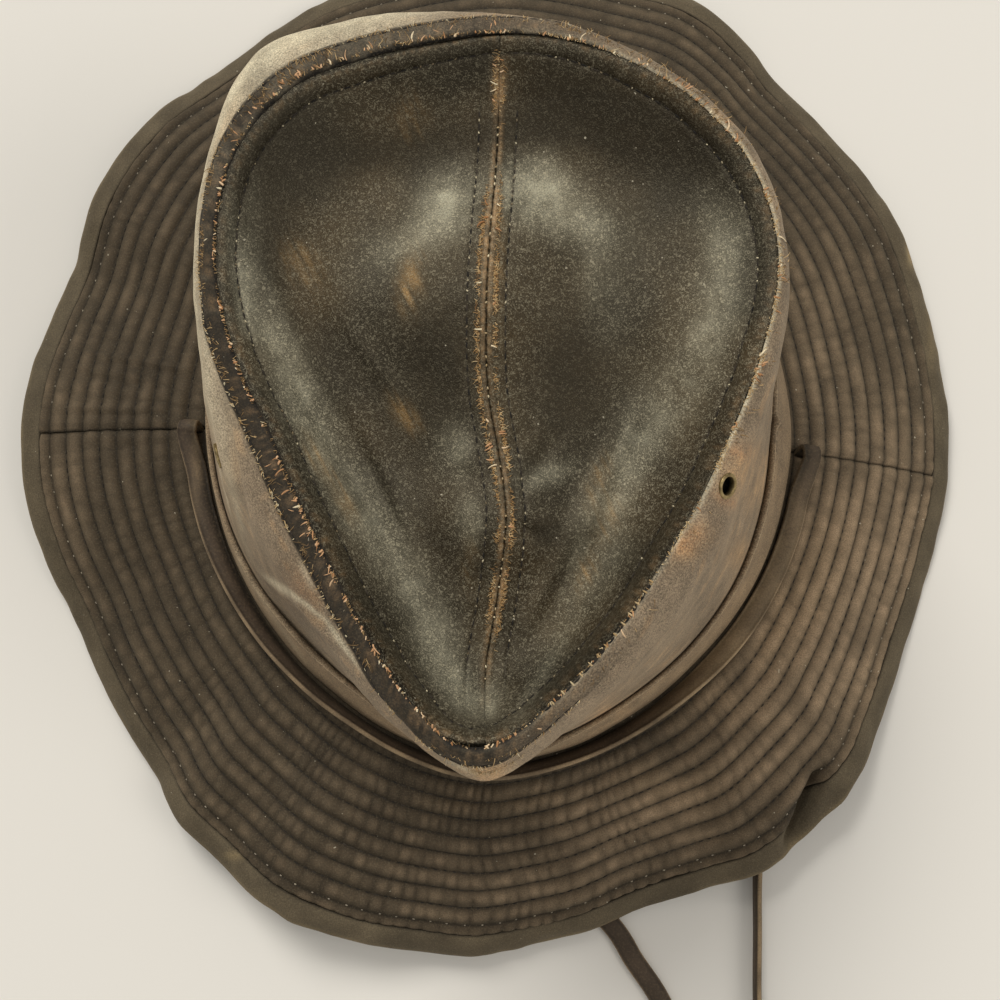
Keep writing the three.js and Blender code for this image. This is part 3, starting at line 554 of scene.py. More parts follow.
tipHollows = {
    "along": [0, 0.08, 0.17, 0.27, 0.38, 0.5, 0.6, 0.68, 0.78, 0.88, 0.95, 1],
    "seam": [0.0, 0.36, 0.5, 0.34, 0.28, 0.5, 0.62, 0.55, 0.84, 0.92, 0.6, 0.0],
    "side": [0.0, 0.38, 0.62, 0.56, 0.52, 0.74, 0.86, 0.84, 0.92, 0.86, 0.5, 0.0],
    "swing": [0, -0.1, -0.3, -0.7, -1.0, -0.9, 0, 0.5, 0.1, -0.5, -0.3, 0]}
brim = {
    "width": 70 * mm, "cloth": 2.4 * mm, "binding": 8 * mm, "bindingThickness": 3 * mm,
    "startSlope": 0.55, "bandCloth": 1.3 * mm, "bandAboveFoot": 1.2 * mm,
    "slitFromBand": 1.6 * mm, "slitEase": 0.6 * mm, "seams": (178.0, 358.0)}
brimEdge = {
    "turn": [8, 18, 28, 39, 50, 56, 64, 74, 88, 101, 114, 126, 132, 141, 151, 159, 165, 173, 182, 191,
             198, 205, 212, 219, 225, 232, 241, 249, 255, 261, 268, 276, 283, 290, 295, 301, 307, 316,
             323, 328, 339, 349, 359],
    "reach": [0.855, 0.87, 0.886, 0.87, 0.87, 0.9, 0.925, 0.905, 0.9, 0.9, 0.905, 0.893, 0.9, 0.93,
              0.934, 0.9, 0.91, 0.93, 0.926, 0.89, 0.85, 0.847, 0.85, 0.86, 0.905, 0.91, 0.94, 0.922,
              0.9, 0.872, 0.86, 0.83, 0.82, 0.8, 0.815, 0.857, 0.914, 0.903, 0.9, 0.864, 0.81, 0.81,
              0.84],
    "drop": [0.457, 0.43, 0.4, 0.43, 0.443, 0.37, 0.3, 0.35, 0.37, 0.375, 0.35, 0.39, 0.36, 0.27,
             0.265, 0.36, 0.34, 0.285, 0.295, 0.385, 0.47, 0.478, 0.47, 0.455, 0.355, 0.34, 0.245, 0.3,
             0.36, 0.43, 0.45, 0.5, 0.485, 0.505, 0.505, 0.455, 0.33, 0.355, 0.365, 0.443, 0.536, 0.536,
             0.486]}


# The front of the crown is pinched to one side, by the cube of how far forward it is.
def pinched(x, y, halfLength):
    return x + crown["pinchShift"] * np.maximum(0, -y / halfLength) ** 3


# One level of the crown: an oval of its half sizes times the table's share at the turn.
def crownRing(column, half, height, turn):
    share = through(crownRings, "turn", column, turn)
    y = share * half[1] * np.sin(turn * degrees)
    x = pinched(share * half[0] * np.cos(turn * degrees), y, half[1])
    return np.stack([x, y, np.full(x.shape, height)], -1)


# The crown's rim, where its side meets the tip.
def rimPoint(turn):
    return crownRing("rim", crown["tipHalf"], crown["height"], turn)


# The crown's foot, where its side meets the brim.
def footPoint(turn):
    return crownRing("foot", crown["footHalf"], 0.0, turn)


# The crown's side: straight from the foot (level 0) to the band's top (1) and on to the
# shoulder (2), then over to the rim (3) on a curve with one control point.
def sidePoint(turn, level):
    turn, level = np.broadcast_arrays(np.asarray(turn, float), np.asarray(level, float))
    foot, rim = footPoint(turn), rimPoint(turn)
    band = crownRing("band", crown["footHalf"], crown["bandHeight"], turn)
    shoulder = crownRing("shoulder", crown["shoulderHalf"], crown["height"] - crown["shoulderDrop"], turn)
    corner = blend(shoulder, rim, np.full(turn.shape, crown["cornerInward"]))
    corner[..., 2] = crown["height"] - crown["cornerBelowRim"]
    share = asShare(level - 2)
    over = blend(blend(shoulder, corner, share), blend(corner, rim, share), share)
    lower = blend(foot, band, asShare(level))
    middle = blend(band, shoulder, asShare(level - 1))
    return np.where(level[..., None] <= 1, lower, np.where(level[..., None] <= 2, middle, over))


# The brim from the crown's foot (share 0) to its edge (share 1): it leaves the crown on
# its start slope and steepens evenly.
def brimPoint(turn, share):
    turn, share = np.broadcast_arrays(np.asarray(turn, float), np.asarray(share, float))
    foot = footPoint(turn)
    outward = levelled(foot)
    reach = through(brimEdge, "turn", "reach", turn) * brim["width"]
    drop = through(brimEdge, "turn", "drop", turn) * brim["width"]
    down = np.maximum(share, 0)
    fall = drop * (brim["startSlope"] * down + (1 - brim["startSlope"]) * down ** 2)
    place = foot + outward * (reach * share)[..., None]
    place[..., 2] = -crown["gap"] - fall
    return place


# Half of the tip, from the centre seam (out 0) to the rim (out 1), on the left side (1)
# or the right (-1). Its hollow follows the table at the seam and halfway out, and closes
# to nothing at the rim.
def tipPoint(side, along, out):
    along, out = np.broadcast_arrays(np.asarray(along, float), np.asarray(out, float))
    rim = rimPoint(90 + side * 180 * along)
    back, front = rimPoint(np.array(90.0))[1], rimPoint(np.array(270.0))[1]
    seamY = back - crown["seamEndInset"] + (front - back + 2 * crown["seamEndInset"]) * along
    seamX = seamLine(seamY) - side * crown["gap"] / 2
    rim[..., 0] = np.where((along <= 0) | (along >= 1), seamX, rim[..., 0])
    seam = np.stack([seamX, seamY, np.full(seamX.shape, crown["height"])], -1)
    place = blend(seam, rim, out)
    reached = tipShare(place[..., 1])
    hollow = blend(through(tipHollows, "along", "seam", reached, False)[..., None],
                   through(tipHollows, "along", "side", reached, False)[..., None],
                   eased(out, 0, crown["halfwayOut"]))[..., 0]
    place[..., 2] -= crown["tipDip"] * np.maximum(hollow, 0) * (1 - out ** crown["rimSteepness"])
    return place


# How far from the back of the rim (0) to its front (1) a place lies.
def tipShare(y):
    back, front = rimPoint(np.array(90.0))[1], rimPoint(np.array(270.0))[1]
    return asShare((back - y) / (back - front))


# How far across the centre seam lies: the table's swing, and the pinch at the front.
def seamLine(y):
    swing = through(tipHollows, "along", "swing", tipShare(y), False) * crown["seamSwing"]
    return pinched(swing, y, crown["tipHalf"][1])


strap = {"width": 6.2 * mm, "thickness": 2 * mm, "offBrim": 0.45 * mm, "layStart": 7.0, "layPlaces": 40,
         "archForward": [0, 0, -0.55, -0.6, 0.3, 1.7], "archUp": [-1.2, -0.3, 0.9, 1.9, 2.4, 2.0],
         "undersideDepths": [0, 2.5 * mm, 5 * mm], "perSpan": 12,
         "sides": 32, "stitchAt": 0.72, "stitchWide": 0.1, "underShade": 0.75,
         "cloth": "43372c", "edge": "9c8565", "fold": "2a221a", "shaded": "14100b"}
slitLength = strap["width"] + 2 * brim["slitEase"]
slitMiddle = crown["gap"] + brim["bandCloth"] + brim["slitFromBand"] + slitLength / 2
strapLay = {
    "turn": [178, 190, 205, 222, 245, 270, 296, 312, 326, 342, 358],
    "lean": [12, 25, 52, 68, 74, 76, 72, 52, 26, 14, 8],
    "off": [0.35, 0.2, 0.15, 0.2, 0.25, 0.3, 0.25, 0.2, 0.2, 0.25, 0.35]}

# The free strap's way over the floor: x and y before the hat's shift, the height of its
# middle, and the tilt of its flat face in degrees.
loopRoute = np.array([
    (-0.095, -0.022, 0.015, 14), (-0.093, -0.037, 0.0046, 4), (-0.085, -0.053, 0.0014, 0),
    (-0.072, -0.070, 0.0013, 0), (-0.053, -0.087, 0.0013, 0), (-0.030, -0.102, 0.0013, 0),
    (-0.007, -0.116, 0.0013, 0), (0.016, -0.131, 0.0013, 0), (0.035, -0.148, 0.0013, 0),
    (0.043, -0.160, 0.0013, 0), (0.051, -0.172, 0.0013, 0), (0.057, -0.187, 0.0013, 0),
    (0.060, -0.203, 0.0015, 6), (0.062, -0.219, 0.002, 18), (0.066, -0.234, 0.0026, 36),
    (0.073, -0.245, 0.0031, 56), (0.082, -0.246, 0.0034, 72), (0.088, -0.236, 0.0034, 82),
    (0.088, -0.220, 0.0034, 86), (0.085, -0.204, 0.0034, 86), (0.082, -0.188, 0.0034, 86),
    (0.081, -0.172, 0.0034, 86), (0.0815, -0.152, 0.0034, 86), (0.082, -0.132, 0.0034, 82),
    (0.084, -0.111, 0.0033, 66), (0.088, -0.091, 0.0028, 42), (0.093, -0.071, 0.002, 16),
    (0.097, -0.052, 0.0018, 2), (0.099, -0.036, 0.005, 4), (0.098, -0.021, 0.016, 14)])


# Directions at a place on the brim: out along it, square off it, and along the turn.
def brimFrame(turn, share):
    step, stepTurn = 0.01, 0.5
    middle = brimPoint(turn, share)
    out = unit(brimPoint(turn, share + step) - middle)
    around = brimPoint(turn + stepTurn, share) - brimPoint(turn - stepTurn, share)
    off = unit(np.cross(around, brimPoint(turn, share + step) - brimPoint(turn, share - step)))
    off = off * np.where(off[..., 2:] < 0, -1, 1)
    return middle, out, off, np.cross(off, out)


# The brim's middle and directions at the middle of a slit.
def slitFrame(turn):
    return brimFrame(np.array(turn), np.array(slitMiddle / brim["width"]))


# A smooth way through places: cubics through all of them, so many points to a span.
def smoothWay(places, perSpan):
    rows = {"place": np.arange(len(places))}
    spots = np.linspace(0, len(places) - 1, (len(places) - 1) * perSpan + 1)
    return np.stack([through({**rows, "value": places[:, k]}, "place", "value", spots, False)
                     for k in range(places.shape[1])], 1)


# A flat strap: its section, a soft-cornered strip dished along each edge's stitching, is
# carried along the way, its width kept to the direction across. Its edges are worn paler,
# and its half toward the crown is darkened by the inner shade share, a painted shade.
def strapPiece(name, middles, across, innerShade, slot, *nodes):
    tangents = unit(np.gradient(middles, axis=0))
    faceUp = unit(np.cross(across, tangents))
    across = np.cross(tangents, faceUp)
    angle = anglesRound(strap["sides"])
    x = np.sign(np.cos(angle)) * np.abs(np.cos(angle)) ** 0.4
    y = np.sign(np.sin(angle)) * np.abs(np.sin(angle)) ** 0.7
    stitched = bell(np.abs(x), strap["stitchAt"], strap["stitchWide"])
    dish = 1 - 0.28 * stitched - 0.08 * bell(x, 0, 0.3)
    reach = reachAlong(middles)[:, None]
    wobble = 1 + 0.05 * cloud(reach / (9 * mm), x[None, :] * 1.5 + 5, 31)
    side = x[None, :] * strap["width"] / 2 * (1 + 0.025 * cloud(reach / (14 * mm), 0.0, 32))
    lift = (y * dish)[None, :] * strap["thickness"] / 2 * wobble
    corners = middles[:, None] + across[:, None] * side[..., None] + faceUp[:, None] * lift[..., None]
    corners[..., 2] = np.maximum(corners[..., 2], lowestCloth)
    n, k = corners.shape[:2]
    ends = np.arange(k) * n
    faces = [gridFaces(k, n, True), ends[None, :], (ends + n - 1)[None, ::-1]]
    xGrid = np.broadcast_to(x, (n, k))
    worn = mottle(reach / (6 * mm), x[None, :] + 3, 33)
    edge = eased(np.abs(xGrid), 0.86, 1.0) * (0.35 + 0.65 * worn)
    dyeAndPaintedLight = blend(paint(strap["cloth"]), paint(strap["edge"]), edge * 0.8)
    dyeAndPaintedLight = recoloured(dyeAndPaintedLight, strap["fold"], np.broadcast_to(stitched, (n, k)) * 0.6)
    # Painted shade on the half toward the crown, where the strap stands close to the wall.
    dyeAndPaintedLight = recoloured(dyeAndPaintedLight, strap["shaded"], eased(-xGrid, 0, 0.7) * innerShade)
    dyeAndPaintedLight = recoloured(dyeAndPaintedLight, strap["edge"], patches(seenAt(unlaid(corners)), strapFaded) * (0.35 + 0.3 * worn))
    dyeAndPaintedLight = dyeAndPaintedLight * (1 + 0.22 * cloud(reach / (11 * mm), x[None, :] + 9, 34))[..., None]
    marks = {"dyeAndPaintedLight": withAlpha(dyeAndPaintedLight.transpose(1, 0, 2).reshape(-1, 3)), "glossAndPaintedGlint": (0.4 * edge).T.ravel()}
    order = corners.transpose(1, 0, 2).reshape(-1, 3)
    return dress(putMesh(name, order, faces, strapCloth, marks), slot, *nodes)


# Where the strap over the brim is rubbed paler.
strapFaded = [(765, 590, 40, 110, 30, 1.0), (700, 680, 60, 40, -40, 0.6), (205, 415, 12, 14, 0, 0.6),
              (196, 470, 5, 50, 0, 0.5)]


# The arch of the strap at a slit: up through the brim, back a little, and over.
def archAt(turn, direction):
    middle, out, off, along = slitFrame(turn)
    forward = np.array(strap["archForward"])[:, None] * strap["thickness"] * direction
    up = np.array(strap["archUp"])[:, None] * strap["thickness"]
    return middle + along * forward + off * up, np.broadcast_to(out, (len(up), 3))


# The strap laid on the brim, leaning up against the crown as its table says.
def strapLaid(turn):
    leaning = through(strapLay, "turn", "lean", turn, False) * degrees
    off = through(strapLay, "turn", "off", turn, False) * (brim["slitFromBand"] + brim["slitEase"])
    inner = crown["gap"] + brim["bandCloth"] + off + strap["thickness"] * np.sin(leaning)
    middle, out, square = brimFrame(turn, inner / brim["width"])[:3]
    c, s = np.cos(leaning)[:, None], np.sin(leaning)[:, None]
    across, faceUp = out * c + square * s, square * c - out * s
    place = (middle + square * strap["offBrim"] + across * strap["width"] / 2
             + faceUp * strap["thickness"] / 2)
    return place, across


# The strap over the brim: up through the left slit, round the front of the crown and down
# through the right one.
def makeStrapOverBrim():
    first, last = brim["seams"][0] + strap["layStart"], brim["seams"][1] - strap["layStart"]
    left, leftAcross = archAt(brim["seams"][0], 1)
    right, rightAcross = archAt(brim["seams"][1], -1)
    lay, layAcross = strapLaid(np.linspace(first, last, strap["layPlaces"]))
    places = laid(np.concatenate([left, lay, right[::-1]]))
    across = np.concatenate([leftAcross, layAcross, rightAcross[::-1]]) @ hatLean.T
    strapPiece("strap_over_brim_cloth", smoothWay(places, strap["perSpan"]),
               smoothWay(across, strap["perSpan"]), strap["underShade"], "strap_cloth",
               "strap_over_brim")


# Places straight down from a slit, where the free strap leaves the brim.
def underSlit(turn):
    middle, out, off = slitFrame(turn)[:3]
    down = strap["archUp"][0] * strap["thickness"] - crown["gap"] - np.array(strap["undersideDepths"])
    return laid(middle + off * down[:, None]), np.broadcast_to(out @ hatLean.T, (len(down), 3))


# The free strap: down from each slit and round the loop on the floor. Its flat face is
# square to the way ahead and tilted as the table says.
def makeChinStrap():
    left, leftAcross = underSlit(brim["seams"][0])
    right, rightAcross = underSlit(brim["seams"][1])
    floor = loopRoute[:, :3] + np.array([lying["shift"][0], lying["shift"][1], 0])
    ahead = np.roll(floor, -1, 0) - np.roll(floor, 1, 0)
    ahead[0], ahead[-1] = floor[1] - floor[0], floor[-1] - floor[-2]
    ahead = levelled(ahead)
    tilt = loopRoute[:, 3] * degrees
    loopAcross = np.stack([ahead[:, 1] * np.cos(tilt), -ahead[:, 0] * np.cos(tilt), np.sin(tilt)], 1)
    places = np.concatenate([left, floor, right[::-1]])
    across = np.concatenate([leftAcross, loopAcross, rightAcross[::-1]])
    way = smoothWay(places, strap["perSpan"])
    piece = strapPiece("chin_strap_cloth", way, smoothWay(across, strap["perSpan"]), 0.0, "strap_cloth",
                       "chin_strap")


makeChinStrap()
makeStrapOverBrim()
print("straps made")


# The two colours between which each kind of thread lies.
threads = {
    "brim": ("1d1915", "3a332b"), "band": ("1d1915", "4a4036"), "tip": ("14110f", "3b332a"),
    "side": ("14110f", "4a4036"), "brimSpeck": ("8a8070", "a89c86"), "speck": ("6f6048", "d8caa8"),
    "dash": ("15120d", "2a241c"), "rung": ("a88a5e", "e4d3ac"), "bead": ("a58a60", "eadcb8")}
stitchSize = {"length": 1.9 * mm, "width": 0.42 * mm, "height": 0.36 * mm, "dip": 0.2 * mm,
              "proud": 0.02 * mm}


# Copies of one small shape's faces, so many corners apart.
def repeated(faces, corners, count):
    step = corners * np.arange(count)[:, None, None]
    return (faces[None] + step).reshape(-1, faces.shape[1])


# Many stitches as one mesh: each is a short bead of thread, six-sided and thinned at both
# ends, which dips into the cloth there.
def stitchPiece(name, rows, size, colour, colourTo, seed, slot):
    centres, along, off = (np.concatenate([row[k] for row in rows]) for k in range(3))
    random = np.random.default_rng(seed)
    along = unit(along)
    off = unit(off - along * (off * along).sum(-1, keepdims=True))
    side = np.cross(off, along)
    span = np.array([-1, -0.62, 0, 0.62, 1.0])
    thick = np.array([0.3, 0.85, 1, 0.85, 0.3])
    angle = anglesRound(6)
    lengthwise = np.repeat(span, 6) * size["length"] / 2
    sideways = np.outer(thick, np.cos(angle)).ravel() * size["width"] / 2
    rise = (np.outer(thick, np.sin(angle)).ravel() * size["height"] / 2
            - size["dip"] * np.repeat(span, 6) ** 2 + size["proud"])
    longer = random.uniform(0.82, 1.12, (len(centres), 1, 1))
    corners = (centres[:, None] + along[:, None] * lengthwise[None, :, None] * longer
               + side[:, None] * sideways[None, :, None] + off[:, None] * rise[None, :, None])
    quads = np.arange(30).reshape(5, 6).T.ravel()[gridFaces(6, 5, True)]
    caps = np.stack([np.arange(6)[::-1], 24 + np.arange(6)])
    faces = [repeated(quads, 30, len(centres)), repeated(caps, 30, len(centres))]
    share = random.uniform(0, 1, (len(centres), 1)) * np.ones((1, 30))
    dyeAndPaintedLight = blend(paint(colour), paint(colourTo), share ** 2)
    marks = {"dyeAndPaintedLight": withAlpha(dyeAndPaintedLight.reshape(-1, 3)), "glossAndPaintedGlint": np.zeros(share.size)}
    return dress(putMesh(name, laid(corners.reshape(-1, 3)), faces, threadFibre, marks), slot)


# Evenly spaced places along a line of points, with the line's direction and normal there.
def alongRow(points, normals, pitch, jitter, seed):
    spots = np.arange(pitch / 2, reachAlong(points)[-1], pitch)
    spots = spots + np.random.default_rng(seed).uniform(-jitter, jitter, len(spots))
    return placesAt(spots, points, normals)


# Many loose threads as one mesh: each leaves its root along its own direction, bends to a
# side, lifts and sinks again, as a four-sided tube that thins toward its end.
def frayPiece(name, roots, direction, off, kind, seed, slot):
    random = np.random.default_rng(seed)
    count = len(roots)
    direction, off = unit(direction), unit(off)
    sideways = unit(np.cross(off, direction))
    spread = random.normal(0, kind["spread"], (count, 1))
    direction = unit(direction + sideways * spread)
    shortest, longest = kind["length"]
    length = shortest + (longest - shortest) * random.uniform(0, 1, (count, 1)) ** 2.2
    curl = random.normal(0, kind["curl"], (count, 1))
    lift = random.uniform(*kind["lift"], (count, 1))
    t = np.linspace(0, 1, 7)[None, :, None]
    line = (roots[:, None] + direction[:, None] * (length[:, None] * t)
            + sideways[:, None] * (length * curl)[:, None] * t ** 2
            + off[:, None] * (length * lift)[:, None] * (t - 0.8 * t ** 2))
    tangent = unit(np.gradient(line, axis=1))
    across = unit(np.cross(tangent, off[:, None] + 0.01))
    upright = np.cross(across, tangent)
    thick = kind["thickness"] * random.uniform(0.6, 1.25, (count, 1, 1)) * (1 - 0.55 * t ** 2) / 2
    ringAcross = np.array([1, 0, -1, 0])[None, None, :, None]
    ringUp = np.array([0, 1, 0, -1])[None, None, :, None]
    corners = (line[:, :, None] + across[:, :, None] * ringAcross * thick[:, :, None]
               + upright[:, :, None] * ringUp * thick[:, :, None])
    corners = corners.transpose(0, 2, 1, 3).reshape(-1, 3)
    caps = np.stack([np.arange(4)[::-1] * 7, np.arange(4) * 7 + 6])
    faces = [repeated(gridFaces(4, 7, True), 28, count), repeated(caps, 28, count)]
    pick = random.uniform(0, 1, (count, 1)) * np.ones((1, 28))
    dyeAndPaintedLight = blend(blend(paint(kind["colours"][0]), paint(kind["colours"][1]), eased(pick, 0, 0.6)),
                paint(kind["colours"][2]), eased(pick, 0.6, 1))
    marks = {"dyeAndPaintedLight": withAlpha(dyeAndPaintedLight.reshape(-1, 3)), "glossAndPaintedGlint": np.zeros(pick.size)}
    return dress(putMesh(name, laid(corners), [np.concatenate(faces)], threadFibre, marks), slot)


quilt = {
    "rows": 10, "pitch": 6.2 * mm, "lastRow": 59 * mm, "puff": 1.25 * mm, "puffRoundness": 0.75,
    "blockWave": 4.3 * mm, "blockDepth": 1.4 * mm, "underPuff": 0.625 * mm,
    "lumpHeight": 0.22 * mm, "swellHeight": 0.5 * mm, "seamDip": 0.35 * mm, "seamLip": 0.25 * mm,
    "columns": 600, "outerRows": 118, "innerRows": 30, "seed": 11,
    "stitchPitch": 2.9 * mm, "speckPitch": 5.4 * mm, "meanRadius": 118 * mm, "underLighter": 1.25,
    "slitRound": 0.4 * mm, "seamGap": 0.2, "seamReach": 5.0, "rowInset": 6,
    "dark": "31281d", "middle": "463b2c", "light": "756550", "faded": "a68d70", "tan": "b09068"}
startShare = -crown["cloth"] / brim["width"]
edgeShare = (brim["width"] - brim["binding"] - crown["gap"] / 2) / brim["width"]
puckerShare = {
    "turn": [0, 40, 90, 140, 178, 200, 225, 245, 270, 290, 305, 322, 350],
    "height": [0.3, 0.25, 0.22, 0.25, 0.25, 0.25, 0.35, 0.65, 0.8, 0.75, 0.5, 0.35, 0.3]}
brimFolds = [
    (788, 848, 822, 770, 7, -7.5), (812, 858, 852, 782, 9, 2.6), (768, 838, 800, 775, 12, 1.6),
    (90, 352, 190, 370, 4, 0.8), (50, 408, 160, 410, 4, 0.7), (60, 372, 160, 388, 5, -0.6)]
brimWorn = [
    (790, 610, 30, 60, 20, 0.55), (770, 640, 14, 40, 25, 0.4), (725, 700, 40, 34, 30, 0.3),
    (690, 790, 60, 24, -20, 0.22), (500, 800, 70, 16, 0, 0.15), (230, 855, 8, 6, 0, 0.7),
    (640, 780, 30, 20, 0, 0.2), (820, 560, 24, 50, 10, 0.3)]
# Where the cloth is browner and lighter, and where it is darker: dark patches, and painted
# shade in the fold at the front right (the first of the dark ovals).
brimFaded = [
    (860, 560, 90, 130, 10, 0.95), (780, 690, 70, 80, 30, 1.0), (640, 820, 110, 50, -15, 0.75),
    (500, 880, 100, 40, 0, 0.3), (820, 330, 60, 100, 0, 0.25), (60, 500, 30, 120, 0, 0.25)]
brimDarkAndShaded = [
    (800, 806, 11, 36, 25, 1.3), (145, 400, 50, 50, 0, 0.5), (520, 850, 90, 30, 0, 0.3),
    (400, 860, 160, 70, 10, 0.45), (130, 560, 70, 130, 0, 0.35),
    (850, 190, 70, 100, -30, 0.45), (130, 250, 60, 120, 20, 0.45), (705, 660, 14, 40, 40, 0.4)]


# How high the quilting stands at a distance from the crown: a puffed channel between each
# two rows of stitches, whose grooves are narrow. Returns also the channel's number and
# the share of the way across it.
def channels(fromFoot):
    place = (fromFoot - quilt["lastRow"]) / quilt["pitch"] + quilt["rows"]
    number = np.floor(place)
    inside = place - number
    return np.abs(np.sin(np.pi * inside)) ** quilt["puffRoundness"], number, inside


# The blocks that the stitching gathers each channel into: puffed between narrow valleys
# across it, which run on from channel to channel, drift and come and go.
def blocks(around, fromFoot, number, seed):
    drift = 0.9 * cloud(around / (16 * mm), fromFoot / (26 * mm), seed)
    drift = drift + 0.2 * cloud(around / (8 * mm), number * 1.7, seed + 1)
    place = around / quilt["blockWave"] + drift
    swollen = np.abs(np.sin(np.pi * place)) ** 0.42
    strength = np.clip(0.75 + 0.6 * cloud(place / 1.3, number * 0.6 + 3, seed + 2), 0.1, 1.2)
    return swollen, strength, cloud(np.floor(place), number, seed + 4)


# One face of a brim half, from inside the crown's foot to the binding. It draws back from
# both side seams by the square of the nearness, and further along the rounded slit.
def brimFace(fromTurn, toTurn, rows):
    columns = np.linspace(fromTurn, toTurn, quilt["columns"])[:, None]
    share = np.linspace(startShare, edgeShare, rows)[None, :] + 0 * columns
    turn = columns + 0 * share
    place = brimPoint(turn, share)
    radius = np.hypot(place[..., 0], place[..., 1])
    fromSlit = (share * brim["width"] - slitMiddle) / (slitLength / 2 + quilt["slitRound"])
    slitHalf = (strap["thickness"] / 2 + brim["slitEase"]) * np.sqrt(asShare(1 - fromSlit ** 2))
    shift = (quilt["seamGap"] * crown["gap"] + slitHalf) / radius / degrees
    atStart = asShare(1 - (turn - fromTurn) / quilt["seamReach"]) ** 2
    atEnd = asShare(1 - (toTurn - turn) / quilt["seamReach"]) ** 2
    turn = turn + shift * atStart - shift * atEnd
    return turn, share, brimPoint(turn, share)


# Half of the brim. A height along the sheet's normals makes its quilted channels and
# blocks, its lumps and swells, the dip at its seams and the photo's folds.
def makeBrimHalf(name, node, fromTurn, toTurn, seed):
    turn, share, top = brimFace(fromTurn, toTurn, quilt["outerRows"])
    normals = gridNormals(top, upward, False)
    fromFoot = share * brim["width"]
    puff, number, inside = channels(fromFoot)
    amount = through(puckerShare, "turn", "height", turn)
    around = turn * degrees * quilt["meanRadius"]
    swollen, strength, tone = blocks(around, fromFoot, number, seed + 30)
    lumps = cloud(around / (6.5 * mm), number * 1.3 + inside * 0.5, seed)
    swell = cloud(around / (24 * mm), fromFoot / (18 * mm), seed + 2)
    seen = seenAt(top)
    nearSeam = np.minimum(turn - fromTurn, toTurn - turn) * degrees * np.hypot(top[..., 0], top[..., 1])
    seamDip = (quilt["seamLip"] * bell(nearSeam, 2.2 * mm, 1.2 * mm)
               - quilt["seamDip"] * bell(nearSeam, 0, 0.8 * mm))
    height = (quilt["puff"] * (puff - 0.6) * (1 + 0.2 * swell + 0.18 * lumps)
              + quilt["blockDepth"] * amount * strength * (swollen - 0.7) * (0.25 + 0.75 * puff)
              + quilt["lumpHeight"] * lumps * puff + quilt["swellHeight"] * swell + seamDip
              + folds(seen, brimFolds))
    top = top + normals * (height * eased(fromFoot, -1 * mm, 3 * mm))[..., None]

    underTurn, underShare, under = brimFace(fromTurn, toTurn, quilt["innerRows"])
    underFoot = underShare * brim["width"]
    underAround = underTurn * degrees * quilt["meanRadius"]
    depth = (-brim["cloth"] - quilt["underPuff"] * (channels(underFoot)[0] - 0.55)
             + quilt["swellHeight"] * cloud(underAround / (24 * mm), underFoot / (18 * mm), seed + 2)
             + folds(seenAt(under), brimFolds))
    depth = np.where(underFoot < 1 * mm, -brim["cloth"], depth)
    under = under + gridNormals(under, upward, False) * depth[..., None]

    # Colour: painted shade in the stitched grooves, the blocks' valleys, the side seams and the far
    # half of each channel; lighter on the puffed tops and ridges, partly wear and partly painted highlight.
    mottled = mottle(around / (5 * mm), fromFoot / (4 * mm), seed + 5)
    wide = mottle(around / (30 * mm), fromFoot / (22 * mm), seed + 6)
    faded, darkAndShaded = patches(seen, brimFaded), patches(seen, brimDarkAndShaded)
    valley = (1 - swollen) * asShare(amount * strength * 1.3)
    ridge = asShare(puff * 0.75 + 0.25 * lumps - 0.8 * valley)
    dyeAndPaintedLight = blend(paint(quilt["dark"]), paint(quilt["middle"]),
                asShare(0.1 + 0.6 * ridge + 0.25 * mottled + 0.4 * faded))
    dyeAndPaintedLight = recoloured(dyeAndPaintedLight, quilt["light"], asShare(ridge ** 2 * (0.12 + 0.4 * wide + 0.55 * faded)) * 0.7)
    worn = patches(seen, brimWorn) * (0.3 + 0.7 * ridge) * (0.4 + 0.6 * mottled)
    dyeAndPaintedLight = recoloured(dyeAndPaintedLight, quilt["tan"], worn)
    dyeAndPaintedLight = recoloured(dyeAndPaintedLight, quilt["dark"], darkAndShaded * 0.75)
    # Painted shade in the fold at the front right, the first of the dark ovals.
    dyeAndPaintedLight = recoloured(dyeAndPaintedLight, seamShade, patches(seen, brimDarkAndShaded[:1]) * 0.7)
    dyeAndPaintedLight = recoloured(dyeAndPaintedLight, quilt["faded"], faded * (0.2 + 0.3 * mottled + 0.25 * ridge) * (1 - 0.7 * darkAndShaded))
    # Lighter crests and block tops: partly wear, partly painted highlight.
    streak = mottle(around / (2.2 * mm), fromFoot / (7 * mm), seed + 8)
    crest = bell(inside, 0.42, 0.22) * asShare(2.2 * streak * mottled - 0.3) * (0.2 + 0.8 * faded)
    tops = eased(inside, 0.08, 0.3) * (1 - eased(inside, 0.55, 0.9)) * eased(swollen, 0.7, 0.9) * amount
    tops = tops * asShare(0.35 + 0.65 * tone + 0.3 * (mottled - 0.5))
    dyeAndPaintedLight = recoloured(dyeAndPaintedLight, quilt["faded"], asShare(0.5 * crest + 0.16 * tops))
    # Painted shade on the far half of each channel.
    dyeAndPaintedLight = recoloured(dyeAndPaintedLight, quilt["dark"], asShare(inside - 0.55) * 0.9)
    # Painted shade in the grooves, the blocks' valleys and the side seams.
    groove = (bell(inside, 0, 0.07) + bell(inside, 1, 0.07)) * (1 - 0.4 * faded * mottled)
    deep = groove * 0.75 + 0.25 * valley * (0.5 + 0.5 * tone) + 0.6 * bell(nearSeam, 0, 0.4 * mm)
    dyeAndPaintedLight = recoloured(dyeAndPaintedLight, seamShade, asShare(deep))
    underDye = paint(quilt["dark"]) * quilt["underLighter"]
    dress(sheetMesh(name, top, under, False, brimCanvas, dyeAndPaintedLight, underDye, worn * 0.3), "brim_canvas", node)

